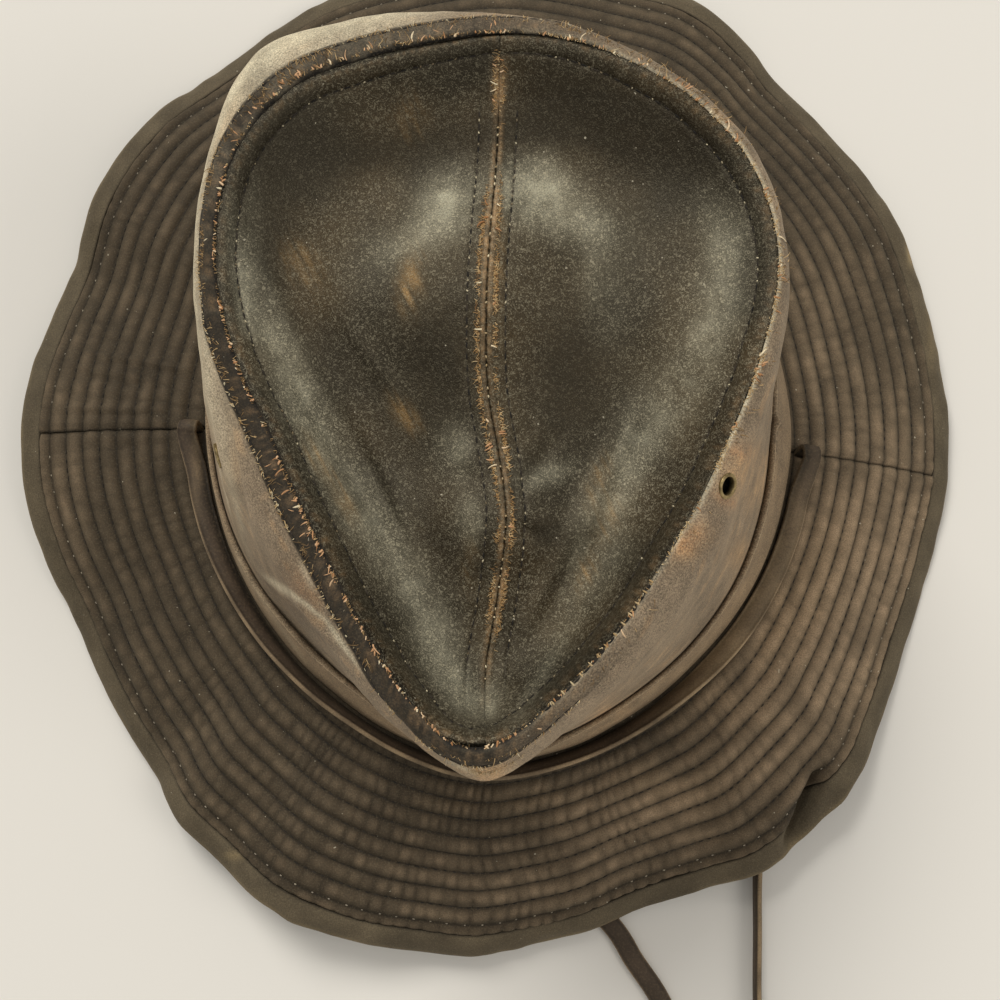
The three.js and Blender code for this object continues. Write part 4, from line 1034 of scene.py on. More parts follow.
    rows = [alongRow(*rowLine(top, normals, quilt["lastRow"] - k * quilt["pitch"]), quilt["stitchPitch"],
                     jitter=0.2 * mm, seed=seed + 40 + k) for k in range(1, quilt["rows"])]
    stitchPiece(name + "_stitches", rows, stitchSize, *threads["brim"], seed + 60, "brim_canvas")
    specks = dict(stitchSize, length=0.9 * mm, width=0.5 * mm, height=0.5 * mm)
    last = alongRow(*rowLine(top, normals, quilt["lastRow"]), quilt["speckPitch"], jitter=0.4 * mm,
                    seed=seed + 80)
    stitchPiece(name + "_specks", [last], specks, *threads["brimSpeck"], seed + 61, "brim_canvas")


# The line on a brim half's grid at a distance from the crown's foot, without its ends, and
# its normals.
def rowLine(top, normals, fromFoot):
    spot = (fromFoot / brim["width"] - startShare) / (edgeShare - startShare) * (top.shape[1] - 1)
    low = int(spot)
    line = top[:, low] + (top[:, low + 1] - top[:, low]) * (spot - low)
    kept = slice(quilt["rowInset"], -quilt["rowInset"])
    return line[kept], normals[kept, low]


leftSeam, rightSeam = brim["seams"]
makeBrimHalf("brim_front_quilted", "brim_front", leftSeam, rightSeam, quilt["seed"])
makeBrimHalf("brim_back_quilted", "brim_back", rightSeam - 360, leftSeam, quilt["seed"] + 200)
print("brim made")


binding = {
    "columns": 900, "section": 34, "puff": 0.75 * mm, "topEnds": 0.55, "rollEnds": 0.75,
    "lift": 0.15 * mm, "edgeShort": 0.6 * mm, "rollOut": 1.2 * mm, "seed": 71,
    "ripple": 0.35 * mm, "wave": 0.5 * mm,
    "cloth": "5b503e", "worn": "8a7755", "dark": "3f3629"}
bindingWorn = [(910, 255, 5, 12, 0, 1.0), (930, 330, 5, 30, 0, 0.4), (236, 855, 10, 5, 0, 0.5)]


# The binding: a section that starts at the seam, puffs up, rolls round the brim's edge and
# comes back flat on the underside, carried all round on the brim's own surface.
def makeBinding():
    turn = turnsRound(binding["columns"])
    t = np.linspace(0, 1, binding["section"])[None, :]
    topPart = asShare(t / binding["topEnds"])
    rollPart = asShare((t - binding["topEnds"]) / (binding["rollEnds"] - binding["topEnds"]))
    underPart = asShare((t - binding["rollEnds"]) / (1 - binding["rollEnds"]))
    width = brim["binding"] - crown["gap"] / 2
    fromFoot = (brim["width"] - width + (width - binding["edgeShort"]) * topPart
                + binding["rollOut"] * np.sin(np.pi * rollPart) * (rollPart < 1)
                - (width - binding["rollOut"]) * underPart)
    puffed = binding["puff"] * np.sin(np.pi * topPart) ** 0.6
    rolled = -brim["bindingThickness"] * (0.5 - 0.5 * np.cos(np.pi * rollPart))
    rise = binding["lift"] + np.where(t <= binding["topEnds"], puffed, rolled)
    share = fromFoot / brim["width"] + 0 * turn
    turnGrid = turn + 0 * t
    around = turnGrid * degrees
    waves = ringCloud(around, 100, 0 * share + 0.5, binding["seed"])
    ripple = ringCloud(around, 180, t * 4 + 0 * turn, binding["seed"] + 1)
    surface, out, off = brimFrame(turnGrid, share)[:3]
    seen = seenAt(surface)
    height = (rise * (1 + 0.12 * ripple) + binding["ripple"] * ripple * topPart * (1 - underPart)
              + folds(seen, brimFolds))
    place = surface + off * height[..., None] + out * (binding["wave"] * waves * topPart)[..., None]
    corners = laid(place.reshape(-1, 3))
    corners[:, 2] = np.maximum(corners[:, 2], lowestCloth)
    mottled = ringMottle(around, 120, t * 3, binding["seed"] + 2)
    dyeAndPaintedLight = blend(paint(binding["dark"]), paint(binding["cloth"]), asShare(0.45 + 0.6 * mottled))
    edge = bell(t, 0.6, 0.07) * (0.3 + 0.7 * mottled)
    dyeAndPaintedLight = recoloured(dyeAndPaintedLight, binding["worn"], asShare(edge * 0.5 + ovals(seen, bindingWorn)))
    # Painted shade where the binding meets the brim.
    dyeAndPaintedLight = recoloured(dyeAndPaintedLight, seamShade, bell(t + 0 * turn, 0, 0.03) * 0.9)
    marks = {"dyeAndPaintedLight": withAlpha(dyeAndPaintedLight.reshape(-1, 3)), "glossAndPaintedGlint": (edge * 0.4).ravel()}
    faces = [ringFaces(*turnGrid.shape)]
    dress(putMesh("brim_binding_cloth", corners, faces, brimCanvas, marks), "brim_canvas", "brim_binding")


makeBinding()
print("binding made")


side = {
    "columns": 720, "strip": 6.4 * mm, "stripRow": 5.6 * mm, "seamPuff": 0.55 * mm, "seed": 301,
    "drape": 0.7 * mm, "smallDrape": 0.25 * mm, "pucker": 0.28 * mm, "rowDepth": 0.35 * mm,
    "grooveDepth": 1.5 * mm, "grooveWidth": 0.9 * mm,
    "footLevels": [0, 0.4, 0.8], "wallRows": 44, "rollRows": 40, "coatShine": -1.2,
    "innerLevels": [0, 1, 1.3, 1.6, 1.85, 2.1, 2.4, 2.7, 3],
    "dark": "4c4032", "middle": "7a6853", "light": "a08d74", "tan": "b9946a", "coat": "2a2318",
    "cream": "d0c5a8", "orange": "b07a4c", "hair": "8a6f50"}
# Round the crown's rim: how open the groove beside the tip is, how dark and coated the
# strip outside it still is, how thick the fray stands, and how far the edge is worn to cream.
rimLook = {
    "turn": [0, 30, 60, 80, 100, 120, 150, 180, 210, 240, 262, 275, 290, 310, 335],
    "groove": [0.1, 0.15, 0.35, 0.8, 1.0, 1.0, 1.0, 1.0, 1.0, 1.0, 1.0, 1.0, 0.95, 0.7, 0.2],
    "coat": [0.0, 0.1, 0.35, 0.55, 0.7, 0.8, 0.9, 1.0, 1.0, 1.0, 1.0, 0.8, 0.35, 0.1, 0.0],
    "fray": [0.3, 0.45, 0.8, 1.0, 0.9, 0.7, 0.9, 1.0, 1.0, 1.0, 1.1, 1.0, 0.8, 0.6, 0.3],
    "row": [0.0, 0.0, 0.2, 0.6, 1.0, 1.0, 1.0, 1.0, 1.0, 1.0, 1.0, 0.9, 0.3, 0.0, 0.0],
    "cream": [1.0, 0.8, 0.45, 0.3, 0.12, 0.1, 0.08, 0.0, 0.0, 0.0, 0.05, 0.15, 0.45, 0.8, 1.0]}
sideWorn = [
    (742, 478, 24, 26, 0, 0.9), (760, 470, 12, 22, 0, 0.7), (690, 542, 20, 14, -30, 1.1),
    (740, 555, 12, 16, 20, 0.6), (615, 720, 20, 14, -20, 1.8), (590, 745, 30, 10, -20, 0.8),
    (493, 775, 22, 12, 0, 0.9), (735, 600, 12, 24, 20, 0.4), (222, 100, 16, 60, 20, 0.5),
    (285, 590, 20, 30, -30, 0.35), (232, 470, 8, 40, 0, 0.3), (400, 740, 30, 10, 30, 0.4)]
# Painted light: where the wall is lit, on the left and at the front.
sideLit = [(222, 440, 12, 60, -4, 0.8), (214, 360, 8, 50, 0, 0.8), (240, 520, 14, 40, -20, 0.5),
           (680, 640, 60, 50, 30, 0.5), (600, 730, 60, 30, -20, 0.6), (478, 762, 24, 12, 0, 1.0)]
# The photo's light creases on the wall and the band, as lines.
sideCreases = [
    (262, 571, 330, 622, 2.2, 0.9), (325, 616, 366, 674, 2.2, 1.0), (362, 665, 446, 760, 2.0, 1.0),
    (214, 400, 220, 460, 2, 0.7), (219, 450, 242, 576, 2, 0.8), (240, 568, 312, 672, 2, 0.6),
    (222, 430, 250, 560, 3, 0.5), (446, 760, 476, 776, 2.5, 0.9), (500, 774, 560, 758, 2, 0.5),
    (205, 300, 214, 410, 2.5, 0.6), (300, 560, 316, 592, 4, 0.5)]
sideOrange = [(690, 540, 16, 10, -30, 1.0), (617, 718, 12, 9, -20, 1.6), (727, 500, 12, 6, 30, 0.7),
              (300, 590, 16, 22, -30, 0.5), (735, 452, 24, 7, 10, 0.5)]
# Darker patches: partly painted shade in creases and beside the strap.
sideDarkAndShaded = [(285, 600, 24, 54, -35, 1.2), (235, 500, 10, 40, -15, 0.5), (330, 670, 14, 40, -35, 0.5),
             (700, 620, 30, 50, 30, 0.35), (350, 690, 40, 12, 40, 0.35), (560, 755, 30, 10, -15, 0.3)]
sideFolds = [
    (213, 390, 235, 510, 3, 1.0), (222, 400, 250, 530, 3, -0.8), (262, 571, 351, 654, 4, 1.2),
    (351, 654, 443, 756, 4, 1.2), (270, 600, 340, 680, 5, -0.9), (205, 300, 212, 420, 4, 0.8),
    (735, 500, 700, 600, 7, 0.8), (690, 560, 640, 660, 8, -0.7)]


# One of the rim's looks at each turn.
def rimShare(key, turn):
    return through(rimLook, "turn", key, turn)


# The crown's side. A height along the wall's normals makes its drape, the puckered strip
# beside the rim with its row of stitches, the groove beside the tip and the photo's folds.
def makeSide():
    turn = turnsRound(side["columns"])
    level = np.concatenate([side["footLevels"], np.linspace(1, 2, side["wallRows"])[:-1],
                            np.linspace(2, 3, side["rollRows"])])[None, :]
    outer = sidePoint(turn, level)
    normals = gridNormals(outer, levelled(outer) + upward, True)
    steps = np.linalg.norm(np.diff(outer, axis=1), axis=2)
    toRim = np.concatenate([np.cumsum(steps[:, ::-1], 1)[:, ::-1], np.zeros((side["columns"], 1))], 1)
    turnGrid, levelGrid = np.broadcast_arrays(turn, level)
    seen = seenAt(outer)
    around = turnGrid * degrees
    seed, strip = side["seed"], side["strip"]
    drape = ringCloud(around, 22, toRim / (30 * mm), seed)
    small = ringCloud(around, 110, toRim / (11 * mm), seed + 1)
    pucker = ringCloud(around, 150, toRim / (8 * mm), seed + 2)
    coat, groove, rowShown = (rimShare(key, turnGrid) for key in ("coat", "groove", "row"))
    inStrip = 1 - eased(toRim, strip - 0.4 * mm, strip + 0.6 * mm)
    height = side["drape"] * drape + side["smallDrape"] * small
    height = height * eased(levelGrid, 1.0, 1.5) * eased(toRim, 0, 10 * mm)
    height = height + side["seamPuff"] * inStrip * np.clip(coat * 1.3, 0.2, 1)
    height = height - side["rowDepth"] * bell(toRim, side["stripRow"], 0.45 * mm) * rowShown
    height = height + side["pucker"] * pucker * bell(toRim, strip / 2, strip / 2)
    height = height - side["grooveDepth"] * bell(toRim, 0, side["grooveWidth"]) * groove
    height = height + folds(seen, sideFolds) * eased(toRim, 0, 6 * mm)
    outer = outer + normals * (height * eased(levelGrid, 0.9, 1.1))[..., None]
    away = levelled(outer[:, -1])
    outer[:, -1] += away * crown["gap"]

    base = sidePoint(turn, np.array(side["innerLevels"])[None, :])
    inner = base - gridNormals(base, levelled(base) + upward, True) * crown["cloth"]
    inner[:, 0, 2] = 0
    inner[:, -1] = base[:, -1] + away * crown["gap"] - upward * crown["cloth"]

    # Colour: brown cloth, mottled in patches, worn tan and cream at ridges and edges, and
    # still dark and coated beside the rim on the left, at the back and round the front. Painted light
    # lies on the left wall and the front, a painted highlight on the back left shoulder, darker patches
    # that are partly painted shade in creases and beside the strap, and painted shade in the rim's
    # groove and the strip's stitch row.
    broad = ringMottle(around, 44, toRim / (16 * mm), seed + 3)
    fine = ringMottle(around, 290, toRim / (3.4 * mm), seed + 4)
    patchy = asShare(1.5 * ringMottle(around, 40, toRim / (14 * mm), seed + 5) + 0.5 * fine - 0.35)
    dyeAndPaintedLight = blend(paint(side["dark"]), paint(side["middle"]), asShare(0.55 + 0.35 * broad + 0.1 * fine))
    dyeAndPaintedLight = recoloured(dyeAndPaintedLight, side["light"], asShare(0.22 + 0.3 * broad + 0.15 * fine) * 0.7)
    # Painted light on the lit parts of the wall.
    dyeAndPaintedLight = recoloured(dyeAndPaintedLight, side["light"], patches(seen, sideLit) * eased(levelGrid, 1.1, 1.7) * 0.8)
    scuffs = cloud(around * 70 / (2 * np.pi) + toRim / (9 * mm), toRim / (3.2 * mm), seed + 6, 70)
    dyeAndPaintedLight = recoloured(dyeAndPaintedLight, side["tan"], asShare(2.6 * scuffs * (0.4 + fine) - 0.9) * 0.35)
    blots = ringCloud(around, 95, toRim / (6 * mm), seed + 9)
    dyeAndPaintedLight = recoloured(dyeAndPaintedLight, side["dark"], asShare(1.6 * blots - 0.5) * 0.3)
    worn = asShare(1.3 * ovals(seen, sideWorn)) * (0.25 + 0.75 * patchy)
    dyeAndPaintedLight = recoloured(dyeAndPaintedLight, side["tan"], worn * (0.5 + 0.4 * fine))
    dyeAndPaintedLight = recoloured(dyeAndPaintedLight, side["orange"], patches(seen, sideOrange) * patchy * (0.4 + 0.4 * fine))
    # Darker patches, partly painted shade.
    dyeAndPaintedLight = recoloured(dyeAndPaintedLight, side["dark"], patches(seen, sideDarkAndShaded) * 0.7)
    # Painted highlight on the back left shoulder, where the wall rolls over toward the lamp.
    backLeftPaintedHighlight = eased(turnGrid, 92, 118) * (1 - eased(turnGrid, 165, 205)) * eased(levelGrid, 1.6, 1.95)
    backLeftPaintedHighlight = backLeftPaintedHighlight * (0.5 + 0.5 * eased(toRim, strip + 1 * mm, 15 * mm))
    dyeAndPaintedLight = recoloured(dyeAndPaintedLight, side["cream"], backLeftPaintedHighlight * (0.7 + 0.3 * fine))
    crease = asShare(folds(seen, sideCreases) / mm) * (0.35 + 0.65 * patchy) * eased(levelGrid, 1.1, 1.5)
    dyeAndPaintedLight = recoloured(dyeAndPaintedLight, side["cream"], crease * 0.6)
    coated = inStrip * asShare(coat * (0.9 + 0.3 * fine))
    dyeAndPaintedLight = recoloured(dyeAndPaintedLight, side["coat"], coated)
    hairs = asShare(ringMottle(around, 500, toRim / (2.5 * mm), seed + 8) * 2 - 0.9)
    dyeAndPaintedLight = recoloured(dyeAndPaintedLight, side["hair"], 0.36 * bell(toRim, 2.0 * mm, 1.8 * mm) * hairs * rimShare("fray", turnGrid))
    cream = bell(toRim, 0.5 * mm, 0.75 * mm) * rimShare("cream", turnGrid)
    dyeAndPaintedLight = recoloured(dyeAndPaintedLight, side["cream"], asShare(cream * (0.55 + 0.45 * fine)))
    # Painted shade in the strip's stitch row and the rim's groove.
    deep = 0.75 * bell(toRim, side["stripRow"], 0.35 * mm) * rowShown
    deep = deep + 2.2 * bell(toRim, 0, 0.75 * mm * (1 + 0.5 * pucker)) * groove
    dyeAndPaintedLight = blend(dyeAndPaintedLight, paint(seamShade) * 0.6, asShare(deep))
    glossAndPaintedGlint = side["coatShine"] * coated
    piece = sheetMesh("crown_side_cloth", outer, inner, True, wornSide, dyeAndPaintedLight, paint(side["dark"]), glossAndPaintedGlint)
    dress(piece, "side_cloth", "crown_side")
    return outer, normals, toRim


sideOuter, sideNormals, sideToRim = makeSide()
print("crown side made")


band = {"columns": 720, "rows": 26, "stitchInset": 2.2 * mm, "stitchPitch": 2.7 * mm, "seed": 341,
        "wave": 0.25 * mm, "edgeLift": 0.3 * mm, "rowDepth": 0.3 * mm, "topLean": 0.3, "innerEvery": 5,
        "lap": [(768, 414, 784, 430, 4, 1.1)], "cloth": "8a7459", "light": "b39d7e", "dark": "5a4a38"}


# The band: a strip laid off the crown's foot by the gap, thick in the middle and thin at
# its top edge, which stands a little away from the crown.
def makeBand():
    turn = turnsRound(band["columns"])
    first = brim["bandAboveFoot"] / crown["bandHeight"]
    level = np.linspace(first, 1, band["rows"])[None, :]
    foot = footPoint(turn[:, 0])[:, None]
    top = crownRing("band", crown["footHalf"], crown["bandHeight"], turn[:, 0])[:, None]
    base = foot + (top - foot) * level[..., None]
    normals = gridNormals(base, levelled(base) + upward * band["topLean"], True)
    turnGrid, levelGrid = np.broadcast_arrays(turn, level)
    around = turnGrid * degrees
    fromTop = (1 - levelGrid) * crown["bandHeight"]
    height = (crown["gap"] + brim["bandCloth"]
              + band["wave"] * ringCloud(around, 40, levelGrid * 2, band["seed"])
              + band["edgeLift"] * bell(fromTop, 0.6 * mm, 0.9 * mm)
              - band["rowDepth"] * bell(fromTop, band["stitchInset"], 0.4 * mm))
    outer = base + normals * height[..., None]
    seen = seenAt(outer)
    outer = outer + normals * folds(seen, band["lap"])[..., None]
    inner = (base + normals * crown["gap"])[:, ::band["innerEvery"]]
    fine = ringMottle(around, 120, levelGrid * 4, band["seed"] + 1)
    broad = ringMottle(around, 26, levelGrid, band["seed"] + 2)
    dyeAndPaintedLight = blend(paint(band["dark"]), paint(band["cloth"]), asShare(0.4 + 0.4 * broad + 0.3 * fine))
    dyeAndPaintedLight = recoloured(dyeAndPaintedLight, band["light"], bell(fromTop, 0.9 * mm, 0.9 * mm) * (0.35 + 0.5 * fine))
    dyeAndPaintedLight = recoloured(dyeAndPaintedLight, side["cream"], asShare(folds(seen, sideCreases) / mm) * 0.2)
    dyeAndPaintedLight = recoloured(dyeAndPaintedLight, side["tan"], patches(seen, sideWorn) * 0.4 * fine)
    # Painted shade in the stitch row's groove.
    dyeAndPaintedLight = recoloured(dyeAndPaintedLight, seamShade, bell(fromTop, band["stitchInset"], 0.35 * mm) * 0.6)
    piece = sheetMesh("hat_band_cloth", outer, inner, True, wornSide, dyeAndPaintedLight, paint(band["dark"]), 0.2 * fine)
    dress(piece, "side_cloth", "hat_band")
    stitched = 1 - band["stitchInset"] / crown["bandHeight"]
    row = round((stitched - first) / (1 - first) * (band["rows"] - 1))
    line, off = (np.concatenate([grid[:, row], grid[:1, row]]) for grid in (outer, normals))
    stitches = alongRow(line, off, band["stitchPitch"], jitter=0.15 * mm, seed=band["seed"] + 4)
    stitchPiece("hat_band_stitches", [stitches], dict(stitchSize, length=1.7 * mm), *threads["band"],
                band["seed"] + 5, "side_cloth")


makeBand()
print("band made")


tip = {
    "columns": 340, "rows": 150, "closer": 0.12, "underEvery": 6, "rimSteps": 241, "seamSteps": 121,
    "stitchInset": 4.6 * mm, "seamStitch": 4.7 * mm, "spread": 0.42, "seed": 401,
    "wave": 0.6 * mm, "softWave": 0.12 * mm, "rimPucker": 0.3 * mm, "seamPucker": 0.26 * mm,
    "rimRowDepth": 0.38 * mm, "seamRowDepth": 0.3 * mm, "rimPuff": 0.5 * mm, "splitDepth": 0.25 * mm,
    "grooveDepth": 1.4 * mm, "grooveWidth": 0.7 * mm,
    "dark": "1b160e", "middle": "2c261b", "brown": "46361f", "grey": "a39e88", "tan": "b48d58",
    "raw": "b49066"}
tipFolds = [
    (700, 330, 640, 430, 14, 1.2), (640, 400, 575, 560, 12, 2.2), (600, 470, 520, 640, 10, 1.4),
    (560, 430, 500, 520, 9, -1.2), (250, 250, 330, 420, 12, 1.3), (330, 400, 440, 600, 11, 1.6),
    (270, 330, 400, 560, 8, -1.0), (300, 260, 400, 400, 10, 0.8), (380, 470, 460, 640, 8, -1.0),
    (690, 470, 600, 640, 9, -0.9), (547, 470, 500, 455, 12, 1.2), (462, 450, 490, 470, 12, 1.2),
    (545, 540, 500, 520, 10, -1.2)]
tipWorn = [
    (410, 280, 11, 26, 10, 0.7), (405, 415, 8, 18, -35, 0.8), (300, 262, 14, 24, -35, 0.35),
    (320, 462, 9, 26, -25, 0.7), (345, 500, 8, 26, -30, 0.5), (600, 480, 10, 26, 20, 0.45),
    (607, 520, 9, 22, 15, 0.5), (585, 575, 9, 20, 15, 0.6), (500, 260, 5, 60, 0, 0.3),
    (410, 115, 14, 20, 0, 0.3), (470, 560, 8, 30, 0, 0.2)]
# Painted highlights: where the tip's slopes face the lamps, the cloth is greyed.
tipPaintedHighlights = [
    (452, 196, 22, 26, 30, 1.5), (425, 232, 46, 20, -30, 0.9), (532, 190, 28, 28, 0, 1.9),
    (575, 218, 44, 24, 25, 1.0), (600, 290, 20, 60, -10, 0.3), (547, 475, 26, 10, -20, 0.75),
    (455, 450, 16, 24, 0, 0.7), (470, 520, 14, 24, 0, 0.6),
    (640, 440, 24, 80, 30, 0.75), (600, 520, 14, 70, 30, 0.5), (590, 590, 16, 60, 35, 0.35),
    (270, 330, 20, 70, -20, 0.6), (300, 395, 22, 60, -25, 0.65), (350, 500, 22, 90, -28, 0.65),
    (410, 575, 20, 60, -28, 0.5), (440, 660, 20, 50, -25, 0.7), (250, 240, 12, 50, 5, 0.3),
    (715, 310, 24, 80, 12, 0.75), (492, 702, 14, 18, 0, 1.0), (462, 690, 12, 30, -20, 0.6),
    (540, 680, 8, 40, 30, 0.5), (240, 280, 8, 70, -8, 0.6), (720, 230, 20, 40, -20, 0.4)]
# Painted shade: where the tip's slopes face away from the lamps.
tipPaintedShade = [
    (275, 240, 30, 60, 10, 0.6), (300, 150, 60, 50, 30, 0.6), (620, 120, 90, 34, 15, 1.5),
    (440, 360, 34, 60, 0, 1.0), (570, 370, 44, 70, 0, 0.9), (400, 150, 110, 26, -10, 0.8),
    (650, 190, 60, 60, 30, 0.6), (547, 535, 22, 16, 0, 0.8), (600, 650, 14, 60, 35, 0.4),
    (430, 520, 16, 60, -20, 0.5), (320, 330, 22, 60, -25, 0.4), (660, 540, 14, 70, 35, 0.5),
    (530, 130, 60, 24, 0, 0.6), (390, 420, 20, 40, -25, 0.4)]


# Half of the tip. A height along its normals makes the soft dents and the photo's folds,
# the puckers and grooves of its stitch rows, the lips of the centre seam and the groove
# at the rim. The sheet's rows stand a little closer together halfway out.
def makeTipHalf(name, node, hand, seed):
    along = np.linspace(0, 1, tip["columns"])[:, None]
    out = np.linspace(0, 1, tip["rows"])[None, :]
    out = out + tip["closer"] * np.sin(2 * np.pi * out) / (2 * np.pi)
    top = tipPoint(hand, along, out)
    normals = gridNormals(top, upward, False)
    toRim, rimReach = distanceTo(top, rimPoint(90 + hand * 180 * np.linspace(0, 1, tip["rimSteps"])))
    toSeam, seamReach = distanceTo(top, tipPoint(hand, np.linspace(0, 1, tip["seamSteps"]), 0))
    seen = seenAt(top)
    x, y = top[..., 0], top[..., 1]
    wide = cloud(x / (22 * mm) + 20, y / (22 * mm) + 20, seed)
    soft = cloud(x / (7 * mm) + 40, y / (9 * mm) + 40, seed + 1)
    rimPucker = cloud(rimReach / (3.4 * mm), toRim / (9 * mm), seed + 2)
    seamPucker = cloud(seamReach / (3.0 * mm), toSeam / (9 * mm), seed + 3)
    lip = mottle(seamReach / (2.2 * mm), 0 * toSeam, seed + 4)
    shown = eased(along, 0.05, 0.14) * (1 - eased(along, 0.9, 0.97))
    groove = rimShare("groove", (90 + hand * 180 * along) % 360 + 0 * toRim)
    height = tip["wave"] * wide + tip["softWave"] * soft + folds(seen, tipFolds)
    height = height * eased(toRim, 2 * mm, 12 * mm) * (0.4 + 0.6 * eased(toSeam, 1 * mm, 9 * mm))
    height = height + tip["rimPucker"] * rimPucker * bell(toRim, tip["stitchInset"], 4 * mm)
    height = height + tip["seamPucker"] * seamPucker * bell(toSeam, tip["seamStitch"], 4 * mm)
    height = height - tip["rimRowDepth"] * bell(toRim, tip["stitchInset"], 0.55 * mm)
    height = height - tip["seamRowDepth"] * bell(toSeam, tip["seamStitch"], 0.5 * mm) * shown
    height = height + tip["rimPuff"] * bell(toRim, 2.2 * mm, 1.7 * mm)
    height = height - tip["grooveDepth"] * bell(toRim, 0, tip["grooveWidth"]) * groove
    height = height + (0.2 + 0.25 * lip) * mm * bell(toSeam, 0.7 * mm, 0.9 * mm) * (0.4 + 0.6 * shown)
    height = height - tip["splitDepth"] * bell(toSeam, 0, 0.2 * mm) * shown
    top = top + normals * height[..., None]
    top[..., 0] += hand * tip["spread"] * crown["gap"] * bell(toSeam, 0, 1 * mm)
    under = top[:, np.r_[0:tip["rows"]:tip["underEvery"], tip["rows"] - 1]] - upward * crown["cloth"]

    # Colour: near-black waxed cloth, browner in clouds, with painted highlights in grey on the
    # slopes that face the lamps and painted shade where they face away, tan where it is worn
    # through, raw along the seams, and painted shade in the seam's split, the stitch rows and the
    # groove at the rim.
    broad = mottle(x / (16 * mm) + 60, y / (16 * mm) + 60, seed + 5)
    fine = mottle(x / (2.2 * mm) + 80, y / (2.6 * mm) + 80, seed + 6)
    dyeAndPaintedLight = blend(paint(tip["dark"]), paint(tip["middle"]), asShare(0.3 + 0.5 * broad + 0.2 * fine))
    dyeAndPaintedLight = recoloured(dyeAndPaintedLight, tip["brown"], asShare(broad - 0.3) * 0.8)
    mottled = mottle(x / (4.5 * mm) + 10, y / (7 * mm) + 10, seed + 10)
    rough = mottle(x / (1.6 * mm) + 15, y / (2.6 * mm) + 15, seed + 11)
    # Painted highlights, greyed and broken up by mottling.
    grey = np.clip(ovals(seen, tipPaintedHighlights), 0, 2) * np.clip(0.35 + 0.75 * mottled + 0.45 * rough, 0.4, 1.4)
    dyeAndPaintedLight = recoloured(dyeAndPaintedLight, tip["grey"], np.clip(grey * (0.34 + 0.2 * fine), 0, 0.85))
    # Painted shade on the slopes facing away from the lamps.
    darkAndShaded = patches(seen, tipPaintedShade)
    dyeAndPaintedLight = recoloured(dyeAndPaintedLight, tip["dark"], darkAndShaded * 0.85)
    streak = mottle((x + 0.5 * y) / (0.9 * mm) + 30, (y - 0.5 * x) / (9 * mm) + 30, seed + 9)
    worn = patches(seen, tipWorn) * (0.1 + 1.2 * streak ** 2 * (0.4 + 0.6 * fine))
    dyeAndPaintedLight = recoloured(dyeAndPaintedLight, tip["tan"], asShare(worn))
    fuzzy = mottle(seamReach / (0.55 * mm), toSeam / (1.0 * mm), seed + 7)
    strength = 0.5 + 0.9 * bell(along, 0.3, 0.12) + 0.4 * bell(along, 0.75, 0.08)
    rawSeam = bell(toSeam, 0.6 * mm, 0.65 * mm) * (0.1 + 1.5 * fuzzy * lip) * shown * strength
    rawSeam = rawSeam + bell(along, 0.055, 0.022) * bell(toSeam, 0, 1.4 * mm) * (0.4 + 0.8 * fuzzy)
    dyeAndPaintedLight = recoloured(dyeAndPaintedLight, tip["raw"], asShare(rawSeam) * 0.8)
    fuzzyRim = asShare(mottle(rimReach / (0.8 * mm), toRim / (1.2 * mm), seed + 8) * 1.6 - 0.6)
    dyeAndPaintedLight = recoloured(dyeAndPaintedLight, tip["raw"], bell(toRim, 0.8 * mm, 1.0 * mm) * fuzzyRim * 0.25)
    dashes = 0.55 + 0.45 * np.sign(np.sin(2 * np.pi * seamReach / (2.6 * mm)))
    split = dashes * eased(along, 0.08, 0.12) * (1 - 0.8 * eased(along, 0.86, 0.9))
    # Painted shade in the seam's split, the stitch rows and the groove at the rim.
    deep = 1.1 * bell(toSeam, 0, 0.3 * mm) * split + 0.8 * bell(toRim, tip["stitchInset"], 0.35 * mm)
    deep = deep + 0.6 * bell(toSeam, tip["seamStitch"], 0.3 * mm) * shown
    deep = deep + 2.2 * bell(toRim, 0, tip["grooveWidth"] * (1 + 0.4 * rimPucker)) * groove
    dyeAndPaintedLight = blend(dyeAndPaintedLight, paint(seamShade) * 0.5, asShare(deep))
    # Where the painted glints are strongest and the cloth smoother: following the painted highlights, less in
    # the painted shade.
    glossAndPaintedGlint = np.clip(0.2 + 0.6 * grey + 0.2 * broad - 0.4 * darkAndShaded, 0.04, 1)
    dress(sheetMesh(name, top, under, False, waxedTip, dyeAndPaintedLight, paint(tip["dark"]), glossAndPaintedGlint), "tip_cloth", node)
    return {"top": top, "normals": normals, "toRim": toRim, "toSeam": toSeam, "along": along[:, 0]}


tipLeft = makeTipHalf("crown_tip_left_cloth", "crown_tip_left", 1, tip["seed"])
tipRight = makeTipHalf("crown_tip_right_cloth", "crown_tip_right", -1, tip["seed"] + 50)
print("tip made")


# The line on a grid where a distance has a given value, found in each column between the
# two rows on either side of it.
def lineWhere(grid, distance, wanted):
    beyond = distance > wanted
    crossing = beyond[:, :-1] != beyond[:, 1:]
    has = crossing.any(1)
    row = crossing.argmax(1)[has]
    column = np.nonzero(has)[0]
    a, b = distance[column, row], distance[column, row + 1]
    share = ((wanted - a) / (b - a))[:, None]
    return grid[column, row] * (1 - share) + grid[column, row + 1] * share


# A share of a row's places, moved on to where the thread comes up.
def thinned(row, share, seed):
    random = np.random.default_rng(seed)
    kept = random.uniform(0, 1, len(row[0])) < share
    places, along, off = (values[kept] for values in row)
    return places + along * 1.5 * mm, along + random.normal(0, 0.8, along.shape), off


